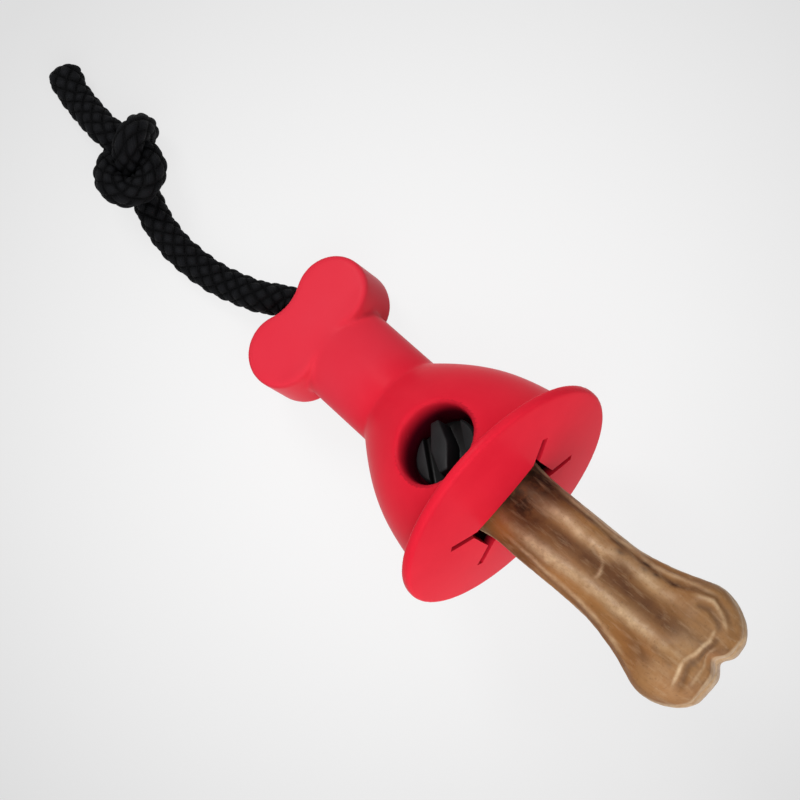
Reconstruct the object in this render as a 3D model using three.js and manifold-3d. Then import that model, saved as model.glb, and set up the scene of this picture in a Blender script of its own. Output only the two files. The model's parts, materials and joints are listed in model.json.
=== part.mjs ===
// Dog chew holder: a rubber bell with a bone-shaped handle and a rope, whose screw clamps a rawhide chew.
// Millimetres, +Z up. It lies on its back, mouth towards +X, with the window of its clamp screw facing up.
// The body's own frame has x along its axis towards the mouth, and x = 0 at the front edge of the rim.

import * as THREE from 'three';
import { mergeVertices } from 'three/addons/utils/BufferGeometryUtils.js';
import Module from 'manifold-3d';

const wasm = await Module();
wasm.setup();

// Fits
const GAP = 0.3;
const MERGE_TOLERANCE = 1e-4;
const OVERSHOOT = 2;

// Flange and bell
const FLANGE_RADIUS = 38.7;
const FLANGE_THICKNESS = 3.2;
const FLANGE_EDGE_RADIUS = 0.8;
const FACE_CROWN = 2.6;
const LIP_THICKNESS = 1;
const FLANGE_REACH = 5.9;
const BELL_LENGTH = 44.6;
const BELL_FRONT_ANGLE = THREE.MathUtils.degToRad(11);
const BELL_BACK_ANGLE = THREE.MathUtils.degToRad(38);
const BELL_FRONT_EASE = 16;
const BELL_BACK_EASE = 22;

// Stem and handle
const STEM_RADIUS = 15;
const STEM_LENGTH = 26.6;
const STEM_END_ROUND = 10;
const STEM_DRAW_POWER = 1.6;
const LOBE_RADIUS = 11.5;
const LOBE_SPREAD = 22.6;
const LOBE_FRONT_FLAT = 0.8;
const HANDLE_THICKNESS = 21;
const HANDLE_EDGE_RADIUS = 1.4;
const NOTCH_DEPTH = 2.8;

// Rawhide chew
const CHEW_LENGTH = 115.5;
const CHEW_YAW = THREE.MathUtils.degToRad(2);
const CHEW_SIDE_SHIFT = 0.6;
const SHAFT_WIDTH = 23.4;
const SHAFT_THICKNESS = 14;
const OUTER_KNUCKLE_WIDTH = 37;
const OUTER_KNUCKLE_THICKNESS = 19;
const INNER_KNUCKLE_WIDTH = 36;
const INNER_KNUCKLE_THICKNESS = 18;
const KNUCKLE_PEAK = 15;
const KNUCKLE_FLARE = 26;
const KNUCKLE_SWELL = 9;
const KNUCKLE_END_SHARE = 0.45;
const FLARE_POWER = 1.4;
const SIDE_SQUARENESS = 0.8;
const TOP_SQUARENESS = 0.7;
const CHEW_NOTCH_RADIUS = 5;
const CHEW_NOTCH_DEPTH = 2.4;

// Chew pocket and mouth
const POCKET_SIDE_PLAY = 1.8;
const POCKET_TOP_PLAY = 2.7;
const POCKET_TAPER = 15.5;
const POCKET_END_WALL = 7.1;
const POCKET_END_PLAY = 1.5;
const POCKET_END_WIDTH = 22;
const POCKET_SHOULDER_BACK = 5.5;
const POCKET_SHOULDER_SIDE = 1.3;
const SLOT_SIDE_PLAY = 2.5;
const SLOT_TOP_PLAY = 0.4;
const SLIT_WIDTH = 1.7;

// Clamp
const WINDOW_PLACE = 17.2;
const WINDOW_TILT = THREE.MathUtils.degToRad(19);
const WINDOW_FLARE = 1.4;
const HEAD_PLAY = 1.3;
const HEAD_RADIUS = 10;
const HEAD_THICKNESS = 3;
const HEAD_EDGE = 0.6;
const GRIP_LENGTH = 17.4;
const GRIP_WIDTH = 6.8;
const GRIP_END_WIDTH = 4.4;
const GRIP_HEIGHT = 3.2;
const GRIP_EDGE = 0.6;
const GRIP_TURN = THREE.MathUtils.degToRad(-29);
const SCREW_PITCH = 3;
const SCREW_TIGHTEN = 1.2;
const SCREW_LOOSEN = 1.8;
const SCREW_CORE_RADIUS = 3.6;
const THREAD_DEPTH = 1.3;
const THREAD_GROOVE = 1.1;
const THREAD_FLANKS = 1;
const BUSH_HEIGHT = 3.4;
const BUSH_RADIUS = 8;
const BUSH_ANCHOR_REACH = 1.6;
const BUSH_ANCHOR_HEIGHT = 1.8;
const TIP_NECK_RADIUS = 2.2;
const TIP_NECK_LENGTH = 1.1;
const TIP_BULB_SNAP = 0.7;
const TIP_BULB_LENGTH = 1.5;
const PAD_RADIUS = 6;
const PAD_FLOOR = 1.2;
const PAD_CHEW_GAP = 0.5;

// Rope
const ROPE_DIAMETER = 10;
const ROPE_BORE_PLAY = 0.3;
const STOP_KNOT_LENGTH = 18;
const STOP_KNOT_SETBACK = 4.2;
const STEM_WALL = 3.5;
const END_KNOT_SIZE = [25, 25, 21.5];
const END_KNOT_PLACE = [-71, 0];
const ROPE_STRAIGHT_OUT = 5;
// The middle lines of the run and the tail, from the notch: along x, sideways and above the floor
const ROPE_RUN = [
  [-13.4, -4.6, 7.9],
  [-20, -7.4, 6.3],
  [-26.7, -9.5, 5.4],
  [-33.2, -10.7, 5.1],
  [-39.5, -11.2, 5.2],
  [-45.6, -10.8, 5.8],
  [-51.6, -9.2, 7.4],
  [-57, -6.8, 9.6],
  [-65, -3, 10.7],
];
const ROPE_TAIL = [
  [-77, 2.4, 10.4],
  [-85.6, 3.6, 8.6],
  [-93, 3, 5.7],
  [-100.5, 3.6, 5.1],
  [-107.4, 5.3, 5.1],
];

// Facets
const TURN_STEPS = 48;
const SMALL_TURN_STEPS = 32;
const FACE_STEPS = 6;
const BELL_STEPS = 12;
const BELL_FINE_STEPS = 200;
const STEM_STEPS = 8;
const ROUND_STEPS = 4;
const HANDLE_STEPS = 14;
const POCKET_STEPS = 6;
const GRIP_STEPS = 10;
const THREAD_STEPS = 24;
const ROPE_SIDES = 12;
const KNOT_STEPS = 24;
const ROPE_STEPS = 14;
const CHEW_SIDES = 24;
const CHEW_STEPS = 30;

// Sizes of the body, chew and rope that follow from the ones above
const FLANGE_EDGE = Math.min(FLANGE_EDGE_RADIUS, FLANGE_THICKNESS / 2);
const FACE_RADIUS = FLANGE_RADIUS - FLANGE_EDGE;
const BELL_FRONT_RADIUS = FLANGE_RADIUS - FLANGE_REACH;
const HANDLE_LENGTH = 2 * LOBE_RADIUS - LOBE_FRONT_FLAT;
const BODY_LENGTH = BELL_LENGTH + STEM_LENGTH + HANDLE_LENGTH;
const STEM_BACK = -BELL_LENGTH - STEM_LENGTH;
const STEM_BACK_HALF = HANDLE_THICKNESS / 2 + GAP;
const LOBE_X = -BODY_LENGTH + LOBE_RADIUS;
const ROPE_RADIUS = ROPE_DIAMETER / 2;
const ROPE_BORE_RADIUS = ROPE_RADIUS + ROPE_BORE_PLAY;
const ROPE_EXIT_X = -BODY_LENGTH + NOTCH_DEPTH;
const STEM_POCKET_RADIUS = STEM_RADIUS - STEM_WALL;
const STOP_KNOT_RADIUS = STEM_POCKET_RADIUS - 2 * GAP;
const POCKET_HALF_WIDTH = INNER_KNUCKLE_WIDTH / 2 + POCKET_SIDE_PLAY;
const POCKET_HALF_HEIGHT = INNER_KNUCKLE_THICKNESS / 2 + POCKET_TOP_PLAY;
const POCKET_BACK = POCKET_END_WALL - BELL_LENGTH;
const POCKET_STRAIGHT_END = POCKET_BACK + POCKET_TAPER;
const CHEW_INSERTED = -POCKET_BACK - POCKET_END_PLAY;
const STOP_KNOT_FRONT = POCKET_BACK - STOP_KNOT_SETBACK;
const STEM_POCKET_BACK = STOP_KNOT_FRONT - STOP_KNOT_LENGTH - GAP;
const SLOT_HALF_WIDTH = SHAFT_WIDTH / 2 + SLOT_SIDE_PLAY;
const SLOT_HALF_HEIGHT = SHAFT_THICKNESS / 2 + SLOT_TOP_PLAY;

// Colours and finishes
const finish = (color, roughness) => new THREE.MeshStandardMaterial({ color, roughness, metalness: 0 });
const rubberRed = () => finish(0xdc2a3c, 0.5);
const blackPlastic = () => finish(0x29272a, 0.45);
const blackRope = () => finish(0x15161a, 0.9);
const rawhideBrown = () => finish(0x7e5839, 0.45);

// Solids

// A closed geometry as a solid with its faces pointing out
function solid(geometry) {
  geometry.deleteAttribute('normal');
  geometry.deleteAttribute('uv');
  const merged = mergeVertices(geometry, MERGE_TOLERANCE);
  const points = new Float32Array(merged.attributes.position.array);
  const corners = merged.index.array;
  const triangles = [];
  const [a, b, c] = [new THREE.Vector3(), new THREE.Vector3(), new THREE.Vector3()];
  let volume = 0;
  for (let i = 0; i < corners.length; i += 3) {
    const [p, q, r] = [corners[i], corners[i + 1], corners[i + 2]];
    if (p === q || q === r || r === p) continue;
    triangles.push([p, q, r]);
    volume += a.fromArray(points, 3 * p).dot(b.fromArray(points, 3 * q).cross(c.fromArray(points, 3 * r)));
  }
  const outward = volume > 0 ? triangles : triangles.map(([p, q, r]) => [p, r, q]);
  const triVerts = new Uint32Array(outward.flat());
  return new wasm.Manifold(new wasm.Mesh({ numProp: 3, vertProperties: points, triVerts }));
}

function namedMesh(name, shape, material) {
  const { vertProperties, triVerts } = shape.getMesh();
  const geometry = new THREE.BufferGeometry();
  geometry.setAttribute('position', new THREE.BufferAttribute(new Float32Array(vertProperties), 3));
  geometry.setIndex(new THREE.BufferAttribute(new Uint32Array(triVerts), 1));
  geometry.computeVertexNormals();
  const mesh = new THREE.Mesh(geometry, material);
  mesh.name = name;
  return mesh;
}

function lathe(outline, steps) {
  const points = outline.map(([radius, along]) => new THREE.Vector2(radius, along));
  return new THREE.LatheGeometry(points, steps, Math.PI / steps);
}

// A geometry turned about the body's axis, from an outline of [x, radius] points
function latheAboutX(outline, steps = TURN_STEPS) {
  return lathe(outline.map(([x, radius]) => [radius, x]), steps).rotateZ(-Math.PI / 2);
}

const turnedAboutX = (outline, steps) => solid(latheAboutX(outline, steps));

// A geometry turned about the clamp's axis, from an outline of [radius, depth] points
function turnedAboutDepth(outline, steps = SMALL_TURN_STEPS) {
  return lathe(outline.map(([radius, depth]) => [radius, -depth]), steps).rotateX(Math.PI / 2);
}

function plainCylinderAboutX(radius, from, to, steps = SMALL_TURN_STEPS) {
  return turnedAboutX([[from, 0], [from, radius], [to, radius], [to, 0]], steps);
}

// A prism along x, from an outline of [y, z] points
function prismAlongX(outline, from, to) {
  const shape = new THREE.Shape(outline.map(([y, z]) => new THREE.Vector2(y, z)));
  const geometry = new THREE.ExtrudeGeometry(shape, { depth: to - from, bevelEnabled: false });
  const axes = new THREE.Matrix4().makeBasis(
    new THREE.Vector3(0, 1, 0),
    new THREE.Vector3(0, 0, 1),
    new THREE.Vector3(1, 0, 0),
  );
  return solid(geometry.applyMatrix4(axes).translate(from, 0, 0));
}

const arc = (x, y, radius, from, to, steps) =>
  new THREE.EllipseCurve(x, y, radius, radius, from, to, to < from).getPoints(steps).map((p) => [p.x, p.y]);

// Rubber body

// The bell's outline from the flange back to the stem
const bellCurve = new THREE.CubicBezierCurve(
  new THREE.Vector2(-FLANGE_THICKNESS, BELL_FRONT_RADIUS),
  new THREE.Vector2(
    -FLANGE_THICKNESS - BELL_FRONT_EASE * Math.cos(BELL_FRONT_ANGLE),
    BELL_FRONT_RADIUS - BELL_FRONT_EASE * Math.sin(BELL_FRONT_ANGLE),
  ),
  new THREE.Vector2(
    -BELL_LENGTH + BELL_BACK_EASE * Math.cos(BELL_BACK_ANGLE),
    STEM_RADIUS + BELL_BACK_EASE * Math.sin(BELL_BACK_ANGLE),
  ),
  new THREE.Vector2(-BELL_LENGTH, STEM_RADIUS),
);

function bellRadiusAt(x) {
  const points = bellCurve.getPoints(BELL_FINE_STEPS);
  const after = points.findIndex((p) => p.x <= x);
  const [p, q] = [points[after - 1], points[after]];
  return THREE.MathUtils.mapLinear(x, p.x, q.x, p.y, q.y);
}

// The clamp's stack as depths below the window's rim, built up from the chew's top to the screw's head
const WINDOW_HEIGHT = bellRadiusAt(-WINDOW_PLACE);
const PAD_BOTTOM_Z = INNER_KNUCKLE_THICKNESS / 2 + PAD_CHEW_GAP;
const PAD_BOTTOM = (WINDOW_HEIGHT - PAD_BOTTOM_Z) / Math.cos(WINDOW_TILT);
const BULB_BOTTOM = PAD_BOTTOM - PAD_FLOOR - GAP;
const BULB_TOP = BULB_BOTTOM - TIP_BULB_LENGTH;
const PAD_TOP = BULB_TOP - TIP_NECK_LENGTH;
const BUSH_BOTTOM = PAD_TOP - SCREW_LOOSEN - GAP;
const BUSH_TOP = BUSH_BOTTOM - BUSH_HEIGHT;
const ANCHOR_TOP = (BUSH_TOP + BUSH_BOTTOM - BUSH_ANCHOR_HEIGHT) / 2;
const ANCHOR_BOTTOM = (BUSH_TOP + BUSH_BOTTOM + BUSH_ANCHOR_HEIGHT) / 2;
const HEAD_UNDERSIDE = BUSH_TOP - SCREW_TIGHTEN - GAP;
const HEAD_DEPTH = HEAD_UNDERSIDE - HEAD_THICKNESS;

// The clamp's radii and thread
const RECESS_FLOOR_RADIUS = HEAD_RADIUS + HEAD_PLAY;
const WINDOW_RADIUS = RECESS_FLOOR_RADIUS + WINDOW_FLARE;
const BUSH_ANCHOR_RADIUS = BUSH_RADIUS + BUSH_ANCHOR_REACH;
const PAD_WELL_RADIUS = PAD_RADIUS + 2 * GAP;
const TIP_BULB_RADIUS = TIP_NECK_RADIUS + TIP_BULB_SNAP;
const SCREW_CREST_RADIUS = SCREW_CORE_RADIUS + THREAD_DEPTH;
const THREAD_ROOT_WIDTH = SCREW_PITCH - THREAD_GROOVE;
const THREAD_CREST_WIDTH = THREAD_ROOT_WIDTH - THREAD_FLANKS;

// The crowned front face, from the axis out to the rim's rounded edge
function faceOutline() {
  const face = new THREE.QuadraticBezierCurve(
    new THREE.Vector2(FACE_CROWN, 0),
    new THREE.Vector2(FACE_CROWN, FACE_RADIUS / 2),
    new THREE.Vector2(0, FACE_RADIUS),
  );
  return face.getPoints(FACE_STEPS).map((p) => [p.x, p.y]);
}

// The face, flange, bell and stem. The stem keeps its width and is drawn down to the handle's thickness.
function bellAndStem() {
  const stemEnd = new THREE.EllipseCurve(STEM_BACK, 0, STEM_END_ROUND, STEM_RADIUS, Math.PI / 2, Math.PI);
  const stemFront = new THREE.Vector2(-BELL_LENGTH, STEM_RADIUS);
  const stem = new THREE.LineCurve(stemFront, new THREE.Vector2(STEM_BACK, STEM_RADIUS));
  const geometry = latheAboutX([
    ...faceOutline(),
    ...arc(-FLANGE_EDGE, FACE_RADIUS, FLANGE_EDGE, 0, Math.PI / 2, ROUND_STEPS),
    ...arc(FLANGE_EDGE - FLANGE_THICKNESS, FACE_RADIUS, FLANGE_EDGE, Math.PI / 2, Math.PI, ROUND_STEPS),
    ...bellCurve.getPoints(BELL_STEPS).map((p) => [p.x, p.y]),
    ...stem.getPoints(STEM_STEPS).map((p) => [p.x, p.y]),
    ...stemEnd.getPoints(ROUND_STEPS).map((p) => [p.x, p.y]),
  ]);
  const points = geometry.attributes.position;
  for (let i = 0; i < points.count; i += 1) {
    const share = THREE.MathUtils.clamp((-BELL_LENGTH - points.getX(i)) / STEM_LENGTH, 0, 1);
    const half = THREE.MathUtils.lerp(STEM_RADIUS, STEM_BACK_HALF, share ** STEM_DRAW_POWER);
    points.setZ(i, (points.getZ(i) * half) / STEM_RADIUS);
  }
  return solid(geometry);
}

// The flat bone-shaped end: two round lobes with a soft notch between them
function handle() {
  const side = LOBE_SPREAD / 2;
  const notchReach = LOBE_X - ROPE_EXIT_X;
  const notchRadius = (notchReach ** 2 + side ** 2 - LOBE_RADIUS ** 2) / (2 * (LOBE_RADIUS - notchReach));
  const notchX = ROPE_EXIT_X - notchRadius;
  const notchAngle = Math.atan2(side, LOBE_X - notchX);
  const shoulder = Math.acos((STEM_BACK - LOBE_X) / LOBE_RADIUS);
  const shape = new THREE.Shape();
  shape.absarc(LOBE_X, side, LOBE_RADIUS, -shoulder, Math.PI + notchAngle, false);
  shape.absarc(notchX, 0, notchRadius, notchAngle, -notchAngle, true);
  shape.absarc(LOBE_X, -side, LOBE_RADIUS, Math.PI - notchAngle, 2 * Math.PI + shoulder, false);
  const geometry = new THREE.ExtrudeGeometry(shape, {
    depth: HANDLE_THICKNESS - 2 * HANDLE_EDGE_RADIUS,
    curveSegments: HANDLE_STEPS,
    bevelThickness: HANDLE_EDGE_RADIUS,
    bevelSize: HANDLE_EDGE_RADIUS,
    bevelOffset: -HANDLE_EDGE_RADIUS,
    bevelSegments: ROUND_STEPS,
  });
  return solid(geometry.translate(0, 0, HANDLE_EDGE_RADIUS - HANDLE_THICKNESS / 2));
}

// The flat pocket that takes the chew's inner knuckle, open at the mouth and drawn in at the back
function chewPocket() {
  const front = FACE_CROWN + OVERSHOOT;
  const side = POCKET_HALF_WIDTH;
  const end = POCKET_END_WIDTH / 2;
  const shoulderX = POCKET_BACK + POCKET_SHOULDER_BACK;
  const shoulderY = side - POCKET_SHOULDER_SIDE;
  const plan = new THREE.Shape();
  plan.moveTo(front, -side);
  plan.lineTo(front, side);
  plan.lineTo(POCKET_STRAIGHT_END, side);
  plan.quadraticCurveTo(shoulderX, shoulderY, POCKET_BACK, end);
  plan.lineTo(POCKET_BACK, -end);
  plan.quadraticCurveTo(shoulderX, -shoulderY, POCKET_STRAIGHT_END, -side);
  const geometry = new THREE.ExtrudeGeometry(plan, {
    depth: 2 * POCKET_HALF_HEIGHT,
    curveSegments: POCKET_STEPS,
    bevelEnabled: false,
  });
  return solid(geometry.translate(0, 0, -POCKET_HALF_HEIGHT));
}

// The round recess over the knob, the bush's seat and the well that the pad moves in
function clampHollow() {
  return turnedAboutDepth([
    [0, -WINDOW_RADIUS],
    [WINDOW_RADIUS, -WINDOW_RADIUS],
    [WINDOW_RADIUS, 0],
    [RECESS_FLOOR_RADIUS, HEAD_DEPTH],
    [RECESS_FLOOR_RADIUS, BUSH_TOP],
    [BUSH_RADIUS + GAP, BUSH_TOP],
    [BUSH_RADIUS + GAP, ANCHOR_TOP - GAP],
    [BUSH_ANCHOR_RADIUS + GAP, ANCHOR_TOP - GAP],
    [BUSH_ANCHOR_RADIUS + GAP, ANCHOR_BOTTOM + GAP],
    [BUSH_RADIUS + GAP, ANCHOR_BOTTOM + GAP],
    [BUSH_RADIUS + GAP, BUSH_BOTTOM + GAP],
    [PAD_WELL_RADIUS, BUSH_BOTTOM + GAP],
    [PAD_WELL_RADIUS, PAD_BOTTOM],
    [0, PAD_BOTTOM],
  ]);
}

function bodyShell(clampMatrix) {
  const knotPocket = plainCylinderAboutX(STEM_POCKET_RADIUS, STEM_POCKET_BACK, POCKET_BACK + OVERSHOOT);
  const ropeBore = plainCylinderAboutX(ROPE_BORE_RADIUS, -BODY_LENGTH - OVERSHOOT, POCKET_BACK);
  return bellAndStem()
    .add(handle())
    .subtract(chewPocket())
    .subtract(knotPocket)
    .subtract(ropeBore)
    .subtract(solid(clampHollow().applyMatrix4(clampMatrix)));
}

// The four lips of the mouth, between the slot and the slits at its corners
function mouthFlaps() {
  const lipBack = [[-LIP_THICKNESS, 0], [-LIP_THICKNESS, FACE_RADIUS]];
  const face = turnedAboutX([...lipBack, ...faceOutline().reverse()]);
  const tipY = POCKET_HALF_WIDTH - GAP;
  const tipZ = POCKET_HALF_HEIGHT - GAP;
  const slitLength = Math.hypot(tipY - SLOT_HALF_WIDTH, tipZ - SLOT_HALF_HEIGHT);
  const cutY = (SLIT_WIDTH / 2) * (slitLength / (tipZ - SLOT_HALF_HEIGHT));
  const cutZ = (SLIT_WIDTH / 2) * (slitLength / (tipY - SLOT_HALF_WIDTH));
  const lengthwise = [
    [SLOT_HALF_WIDTH - cutY, SLOT_HALF_HEIGHT],
    [tipY - cutY, tipZ],
    [cutY - tipY, tipZ],
    [cutY - SLOT_HALF_WIDTH, SLOT_HALF_HEIGHT],
  ];
  const endwise = [
    [SLOT_HALF_WIDTH, SLOT_HALF_HEIGHT - cutZ],
    [SLOT_HALF_WIDTH, cutZ - SLOT_HALF_HEIGHT],
    [tipY, cutZ - tipZ],
    [tipY, tipZ - cutZ],
  ];
  const turned = (outline) => outline.map(([y, z]) => [-y, -z]);
  const [back, front] = [-LIP_THICKNESS - OVERSHOOT, FACE_CROWN + OVERSHOOT];
  const flap = (outline) => face.intersect(prismAlongX(outline, back, front));
  return [
    namedMesh('mouth_flap_top', flap(lengthwise), rubberRed()),
    namedMesh('mouth_flap_bottom', flap(turned(lengthwise)), rubberRed()),
    namedMesh('mouth_flap_left', flap(endwise), rubberRed()),
    namedMesh('mouth_flap_right', flap(turned(endwise)), rubberRed()),
  ];
}

// Clamp

// A right-hand screw thread on a round core; a nut's bore is cut with the same rod, grown by its clearance
function threadedRod(top, bottom, clearance) {
  const core = SCREW_CORE_RADIUS + clearance;
  const crest = SCREW_CREST_RADIUS + clearance;
  const rootHalf = THREAD_ROOT_WIDTH / 2 + clearance;
  const crestHalf = THREAD_CREST_WIDTH / 2 + clearance;
  const sunk = core - clearance - GAP;
  const steps = Math.ceil((THREAD_STEPS * (bottom - top)) / SCREW_PITCH);
  const profile = [[sunk, -rootHalf], [crest, -crestHalf], [crest, crestHalf], [sunk, rootHalf]];
  const points = [];
  const corners = [];
  for (let i = 0; i <= steps; i += 1) {
    const height = -bottom + ((bottom - top) * i) / steps;
    const angle = (2 * Math.PI * height) / SCREW_PITCH;
    for (const [radius, rise] of profile) {
      points.push(radius * Math.cos(angle), radius * Math.sin(angle), height + rise);
    }
  }
  for (let i = 0; i < steps; i += 1) {
    for (let k = 0; k < 4; k += 1) {
      const [p, q] = [4 * i + k, 4 * i + ((k + 1) % 4)];
      corners.push(p, p + 4, q, q, p + 4, q + 4);
    }
  }
  corners.push(0, 1, 2, 0, 2, 3);
  const last = 4 * steps;
  corners.push(last, last + 2, last + 1, last, last + 3, last + 2);
  const ridge = new THREE.BufferGeometry();
  ridge.setAttribute('position', new THREE.Float32BufferAttribute(points, 3));
  ridge.setIndex(corners);
  const rod = turnedAboutDepth([
    [0, top - rootHalf - OVERSHOOT],
    [core, top - rootHalf - OVERSHOOT],
    [core, bottom + rootHalf],
    [0, bottom + rootHalf],
  ]);
  return solid(rod).add(solid(ridge));
}

function threadedBush() {
  const outside = solid(turnedAboutDepth([
    [0, BUSH_TOP],
    [BUSH_RADIUS, BUSH_TOP],
    [BUSH_RADIUS, ANCHOR_TOP],
    [BUSH_ANCHOR_RADIUS, ANCHOR_TOP],
    [BUSH_ANCHOR_RADIUS, ANCHOR_BOTTOM],
    [BUSH_RADIUS, ANCHOR_BOTTOM],
    [BUSH_RADIUS, BUSH_BOTTOM],
    [0, BUSH_BOTTOM],
  ]));
  return outside.subtract(threadedRod(BUSH_TOP - SCREW_PITCH, BUSH_BOTTOM + SCREW_PITCH, GAP));
}

function gripBar() {
  const end = GRIP_LENGTH / 2 - GRIP_EDGE;
  const endHalf = GRIP_END_WIDTH / 2 - GRIP_EDGE;
  const bulge = GRIP_WIDTH - GRIP_EDGE - GRIP_END_WIDTH / 2;
  const shape = new THREE.Shape();
  shape.moveTo(end, -endHalf);
  shape.lineTo(end, endHalf);
  shape.quadraticCurveTo(0, bulge, -end, endHalf);
  shape.lineTo(-end, -endHalf);
  shape.quadraticCurveTo(0, -bulge, end, -endHalf);
  const geometry = new THREE.ExtrudeGeometry(shape, {
    depth: GRIP_HEIGHT + HEAD_THICKNESS / 2 - 2 * GRIP_EDGE,
    curveSegments: GRIP_STEPS,
    bevelThickness: GRIP_EDGE,
    bevelSize: GRIP_EDGE,
    bevelSegments: ROUND_STEPS / 2,
  });
  return solid(geometry.translate(0, 0, GRIP_EDGE - HEAD_DEPTH - HEAD_THICKNESS / 2).rotateZ(GRIP_TURN));
}

function clampScrew() {
  const threadEnd = PAD_TOP - GAP - THREAD_ROOT_WIDTH / 2;
  const head = solid(turnedAboutDepth([
    [0, HEAD_DEPTH],
    [HEAD_RADIUS - HEAD_EDGE, HEAD_DEPTH],
    [HEAD_RADIUS, HEAD_DEPTH + HEAD_EDGE],
    [HEAD_RADIUS, HEAD_UNDERSIDE],
    [0, HEAD_UNDERSIDE],
  ]));
  const tip = solid(turnedAboutDepth([
    [0, threadEnd],
    [TIP_NECK_RADIUS, threadEnd],
    [TIP_NECK_RADIUS, BULB_TOP],
    [TIP_BULB_RADIUS, BULB_TOP],
    [TIP_BULB_RADIUS, BULB_BOTTOM],
    [0, BULB_BOTTOM],
  ]));
  const threadTop = HEAD_UNDERSIDE + THREAD_ROOT_WIDTH;
  return head.add(gripBar()).add(threadedRod(threadTop, threadEnd, 0)).add(tip);
}

// The pad's socket snaps over the screw's tip, and its foot is cut level with the chew
function pressurePad(clampMatrix) {
  const reach = PAD_BOTTOM + PAD_RADIUS;
  const blockOutline = [[0, PAD_TOP], [PAD_RADIUS, PAD_TOP], [PAD_RADIUS, reach], [0, reach]];
  const socket = solid(turnedAboutDepth([
    [0, PAD_TOP - OVERSHOOT],
    [TIP_NECK_RADIUS + GAP, PAD_TOP - OVERSHOOT],
    [TIP_NECK_RADIUS + GAP, BULB_TOP - GAP],
    [TIP_BULB_RADIUS + GAP, BULB_TOP - GAP],
    [TIP_BULB_RADIUS + GAP, BULB_BOTTOM + GAP],
    [0, BULB_BOTTOM + GAP],
  ]));
  const belowFoot = new THREE.BoxGeometry(2 * WINDOW_HEIGHT, 2 * WINDOW_HEIGHT, 2 * WINDOW_HEIGHT);
  belowFoot.translate(-WINDOW_PLACE, 0, PAD_BOTTOM_Z - WINDOW_HEIGHT);
  belowFoot.applyMatrix4(clampMatrix.clone().invert());
  return solid(turnedAboutDepth(blockOutline)).subtract(socket).subtract(solid(belowFoot));
}

// Rawhide chew

// Half of a knuckle's width or thickness at a distance from the chew's end
function knuckleHalf(fromEnd, knuckle, shaft, flare) {
  if (fromEnd >= KNUCKLE_PEAK) {
    const rise = Math.max(0, 1 - (fromEnd - KNUCKLE_PEAK) / flare);
    return (shaft + (knuckle - shaft) * rise ** FLARE_POWER) / 2;
  }
  const round = Math.sqrt(1 - (1 - fromEnd / KNUCKLE_PEAK) ** 2);
  return (knuckle / 2) * (KNUCKLE_END_SHARE + (1 - KNUCKLE_END_SHARE) * round);
}

// A sine or cosine drawn towards 1, which squares off the section
const squared = (wave, power) => Math.sign(wave) * Math.abs(wave) ** power;

function rawhideChew() {
  const points = [];
  const corners = [];
  for (let i = 0; i <= CHEW_STEPS; i += 1) {
    const along = (CHEW_LENGTH * (1 - Math.cos((Math.PI * i) / CHEW_STEPS))) / 2;
    const inner = along < CHEW_LENGTH / 2;
    const fromEnd = inner ? along : CHEW_LENGTH - along;
    const knuckleWidth = inner ? INNER_KNUCKLE_WIDTH : OUTER_KNUCKLE_WIDTH;
    const knuckleThickness = inner ? INNER_KNUCKLE_THICKNESS : OUTER_KNUCKLE_THICKNESS;
    const halfWidth = knuckleHalf(fromEnd, knuckleWidth, SHAFT_WIDTH, KNUCKLE_FLARE);
    const halfThickness = knuckleHalf(fromEnd, knuckleThickness, SHAFT_THICKNESS, KNUCKLE_SWELL);
    for (let k = 0; k < CHEW_SIDES; k += 1) {
      const angle = (2 * Math.PI * k) / CHEW_SIDES;
      const y = halfWidth * squared(Math.cos(angle), SIDE_SQUARENESS);
      const z = halfThickness * squared(Math.sin(angle), TOP_SQUARENESS);
      points.push(along, y, z);
    }
  }
  for (let i = 0; i < CHEW_STEPS; i += 1) {
    for (let k = 0; k < CHEW_SIDES; k += 1) {
      const [p, q] = [CHEW_SIDES * i + k, CHEW_SIDES * i + ((k + 1) % CHEW_SIDES)];
      corners.push(p, q, p + CHEW_SIDES, q, q + CHEW_SIDES, p + CHEW_SIDES);
    }
  }
  const last = CHEW_SIDES * CHEW_STEPS;
  for (let k = 1; k < CHEW_SIDES - 1; k += 1) {
    corners.push(0, k + 1, k, last, last + k, last + k + 1);
  }
  const loft = new THREE.BufferGeometry();
  loft.setAttribute('position', new THREE.Float32BufferAttribute(points, 3));
  loft.setIndex(corners);
  const notchHeight = 2 * Math.max(OUTER_KNUCKLE_THICKNESS, INNER_KNUCKLE_THICKNESS);
  const notch = new THREE.CylinderGeometry(CHEW_NOTCH_RADIUS, CHEW_NOTCH_RADIUS, notchHeight, CHEW_SIDES);
  notch.rotateX(Math.PI / 2);
  const inside = CHEW_NOTCH_DEPTH - CHEW_NOTCH_RADIUS;
  return solid(loft)
    .subtract(solid(notch.clone().translate(CHEW_LENGTH - inside, 0, 0)))
    .subtract(solid(notch.clone().translate(inside, 0, 0)));
}

// Rope

function ropeTube(route) {
  const curve = new THREE.CatmullRomCurve3(route.map((p) => new THREE.Vector3(...p)));
  const section = new THREE.Shape().absarc(0, 0, ROPE_RADIUS, 0, 2 * Math.PI, false);
  return solid(new THREE.ExtrudeGeometry(section, {
    curveSegments: ROPE_SIDES / 2,
    steps: ROPE_STEPS,
    extrudePath: curve,
  }));
}

function endKnot(grown) {
  const ball = new THREE.SphereGeometry(1, KNOT_STEPS, KNOT_STEPS / 2);
  const [length, width, height] = END_KNOT_SIZE;
  ball.rotateX(Math.PI / 2);
  ball.scale(length / 2 + grown, width / 2 + grown, height / 2 + grown);
  return solid(ball.translate(...END_KNOT_PLACE, height / 2));
}

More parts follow.
